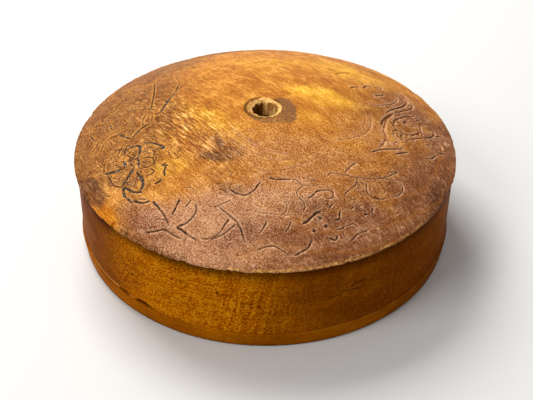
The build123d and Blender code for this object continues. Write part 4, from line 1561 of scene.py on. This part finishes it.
class ROUNDBOX_OT_stage(bpy.types.Operator):
    """Sets the floor, the soft lamps, the sky and the camera"""

    bl_idname = "roundbox.make_stage"
    bl_label = "Studio Stage"

    def execute(self, context):
        settings = context.scene.round_box_stage
        self.floor(settings)
        for name, place, size in LAMPS:
            self.lamp(name, getattr(settings, name), place, size)
        self.sky(settings)
        self.camera()
        context.scene.view_settings.view_transform = "Standard"
        return {"FINISHED"}

    def floor(self, settings):
        """A plain pale floor."""
        bm = bmesh.new()
        bmesh.ops.create_grid(bm, x_segments=2, y_segments=2, size=FLOOR_REACH)
        mesh = bpy.data.meshes.new("floor")
        bm.to_mesh(mesh)
        bm.free()
        material, _, shader, _ = new_material("floor_plain")
        shader.inputs["Base Color"].default_value = (*settings.floor, 1)
        shader.inputs["Roughness"].default_value = 0.9
        shader.inputs["Specular IOR Level"].default_value = 0.1
        mesh.materials.append(material)
        floor = bpy.data.objects.new("floor", mesh)
        bpy.context.scene.collection.objects.link(floor)

    def lamp(self, name, power, place, size):
        """A square soft lamp that faces the box."""
        data = bpy.data.lights.new(name, "AREA")
        data.energy = power
        data.size = size
        lamp = bpy.data.objects.new(name, data)
        lamp.location = place
        aim = Vector((0, 0, APEX_Z / 2)) - Vector(place)
        lamp.rotation_euler = aim.to_track_quat("-Z", "Y").to_euler()
        bpy.context.scene.collection.objects.link(lamp)

    def sky(self, settings):
        """Even light from all round, which the camera sees as a pale backdrop."""
        world = bpy.data.worlds.new("sky")
        world.use_nodes = True
        tree = world.node_tree
        tree.nodes.clear()
        path = tree.nodes.new("ShaderNodeLightPath").outputs
        seen = maths(tree, "MAXIMUM", path["Is Glossy Ray"], path["Is Transmission Ray"])
        seen = maths(tree, "MAXIMUM", path["Is Camera Ray"], seen)
        backdrop = put(tree, "ShaderNodeBackground", {"Color": settings.floor, "Strength": 1.0})
        light = put(tree, "ShaderNodeBackground", {"Color": (1.0, 1.0, 1.0), "Strength": settings.sky})
        both = put(tree, "ShaderNodeMixShader", {0: seen, 1: light.outputs[0], 2: backdrop.outputs[0]})
        output = tree.nodes.new("ShaderNodeOutputWorld")
        tree.links.new(both.outputs[0], output.inputs["Surface"])
        bpy.context.scene.world = world

    def camera(self):
        """The photograph's camera."""
        data = bpy.data.cameras.new("camera")
        data.sensor_width = 36
        data.lens = PHOTO_FOCAL / PHOTO_WIDTH * data.sensor_width
        camera = bpy.data.objects.new("camera", data)
        camera.matrix_world = CAMERA
        bpy.context.scene.collection.objects.link(camera)
        bpy.context.scene.camera = camera


class ROUNDBOX_PT_panel(bpy.types.Panel):
    """Lists the steps and their settings in the sidebar"""

    bl_idname = "ROUNDBOX_PT_panel"
    bl_label = "Round Box"
    bl_space_type = "VIEW_3D"
    bl_region_type = "UI"
    bl_category = "Round Box"

    def draw(self, context):
        for group, operators in PANEL_ROWS:
            box = self.layout.box()
            settings = getattr(context.scene, group)
            for key in settings.__annotations__:
                box.prop(settings, key)
            for operator in operators:
                box.operator(operator.bl_idname)


PANEL_ROWS = (
    ("round_box_lid", (ROUNDBOX_OT_lid,)),
    ("round_box_wall", (ROUNDBOX_OT_wall, ROUNDBOX_OT_base)),
    ("round_box_stage", (ROUNDBOX_OT_stage,)),
)
SETTINGS = {
    "round_box_lid": RoundBoxLidSettings,
    "round_box_wall": RoundBoxWallSettings,
    "round_box_stage": RoundBoxStageSettings,
}
CLASSES = (
    *SETTINGS.values(),
    ROUNDBOX_OT_lid,
    ROUNDBOX_OT_wall,
    ROUNDBOX_OT_base,
    ROUNDBOX_OT_stage,
    ROUNDBOX_PT_panel,
)


def register():
    """Registers the settings, the operators and the panel."""
    for cls in CLASSES:
        bpy.utils.register_class(cls)
    for name, cls in SETTINGS.items():
        setattr(bpy.types.Scene, name, PointerProperty(type=cls))


def unregister():
    """Takes away what register added."""
    for name in SETTINGS:
        delattr(bpy.types.Scene, name)
    for cls in reversed(CLASSES):
        bpy.utils.unregister_class(cls)


def main():
    """Builds the dressed box and its stage."""
    register()
    bpy.ops.roundbox.make_stage()
    bpy.ops.roundbox.make_base()
    bpy.ops.roundbox.make_wall()
    bpy.ops.roundbox.make_lid()


if __name__ == "__main__":
    main()
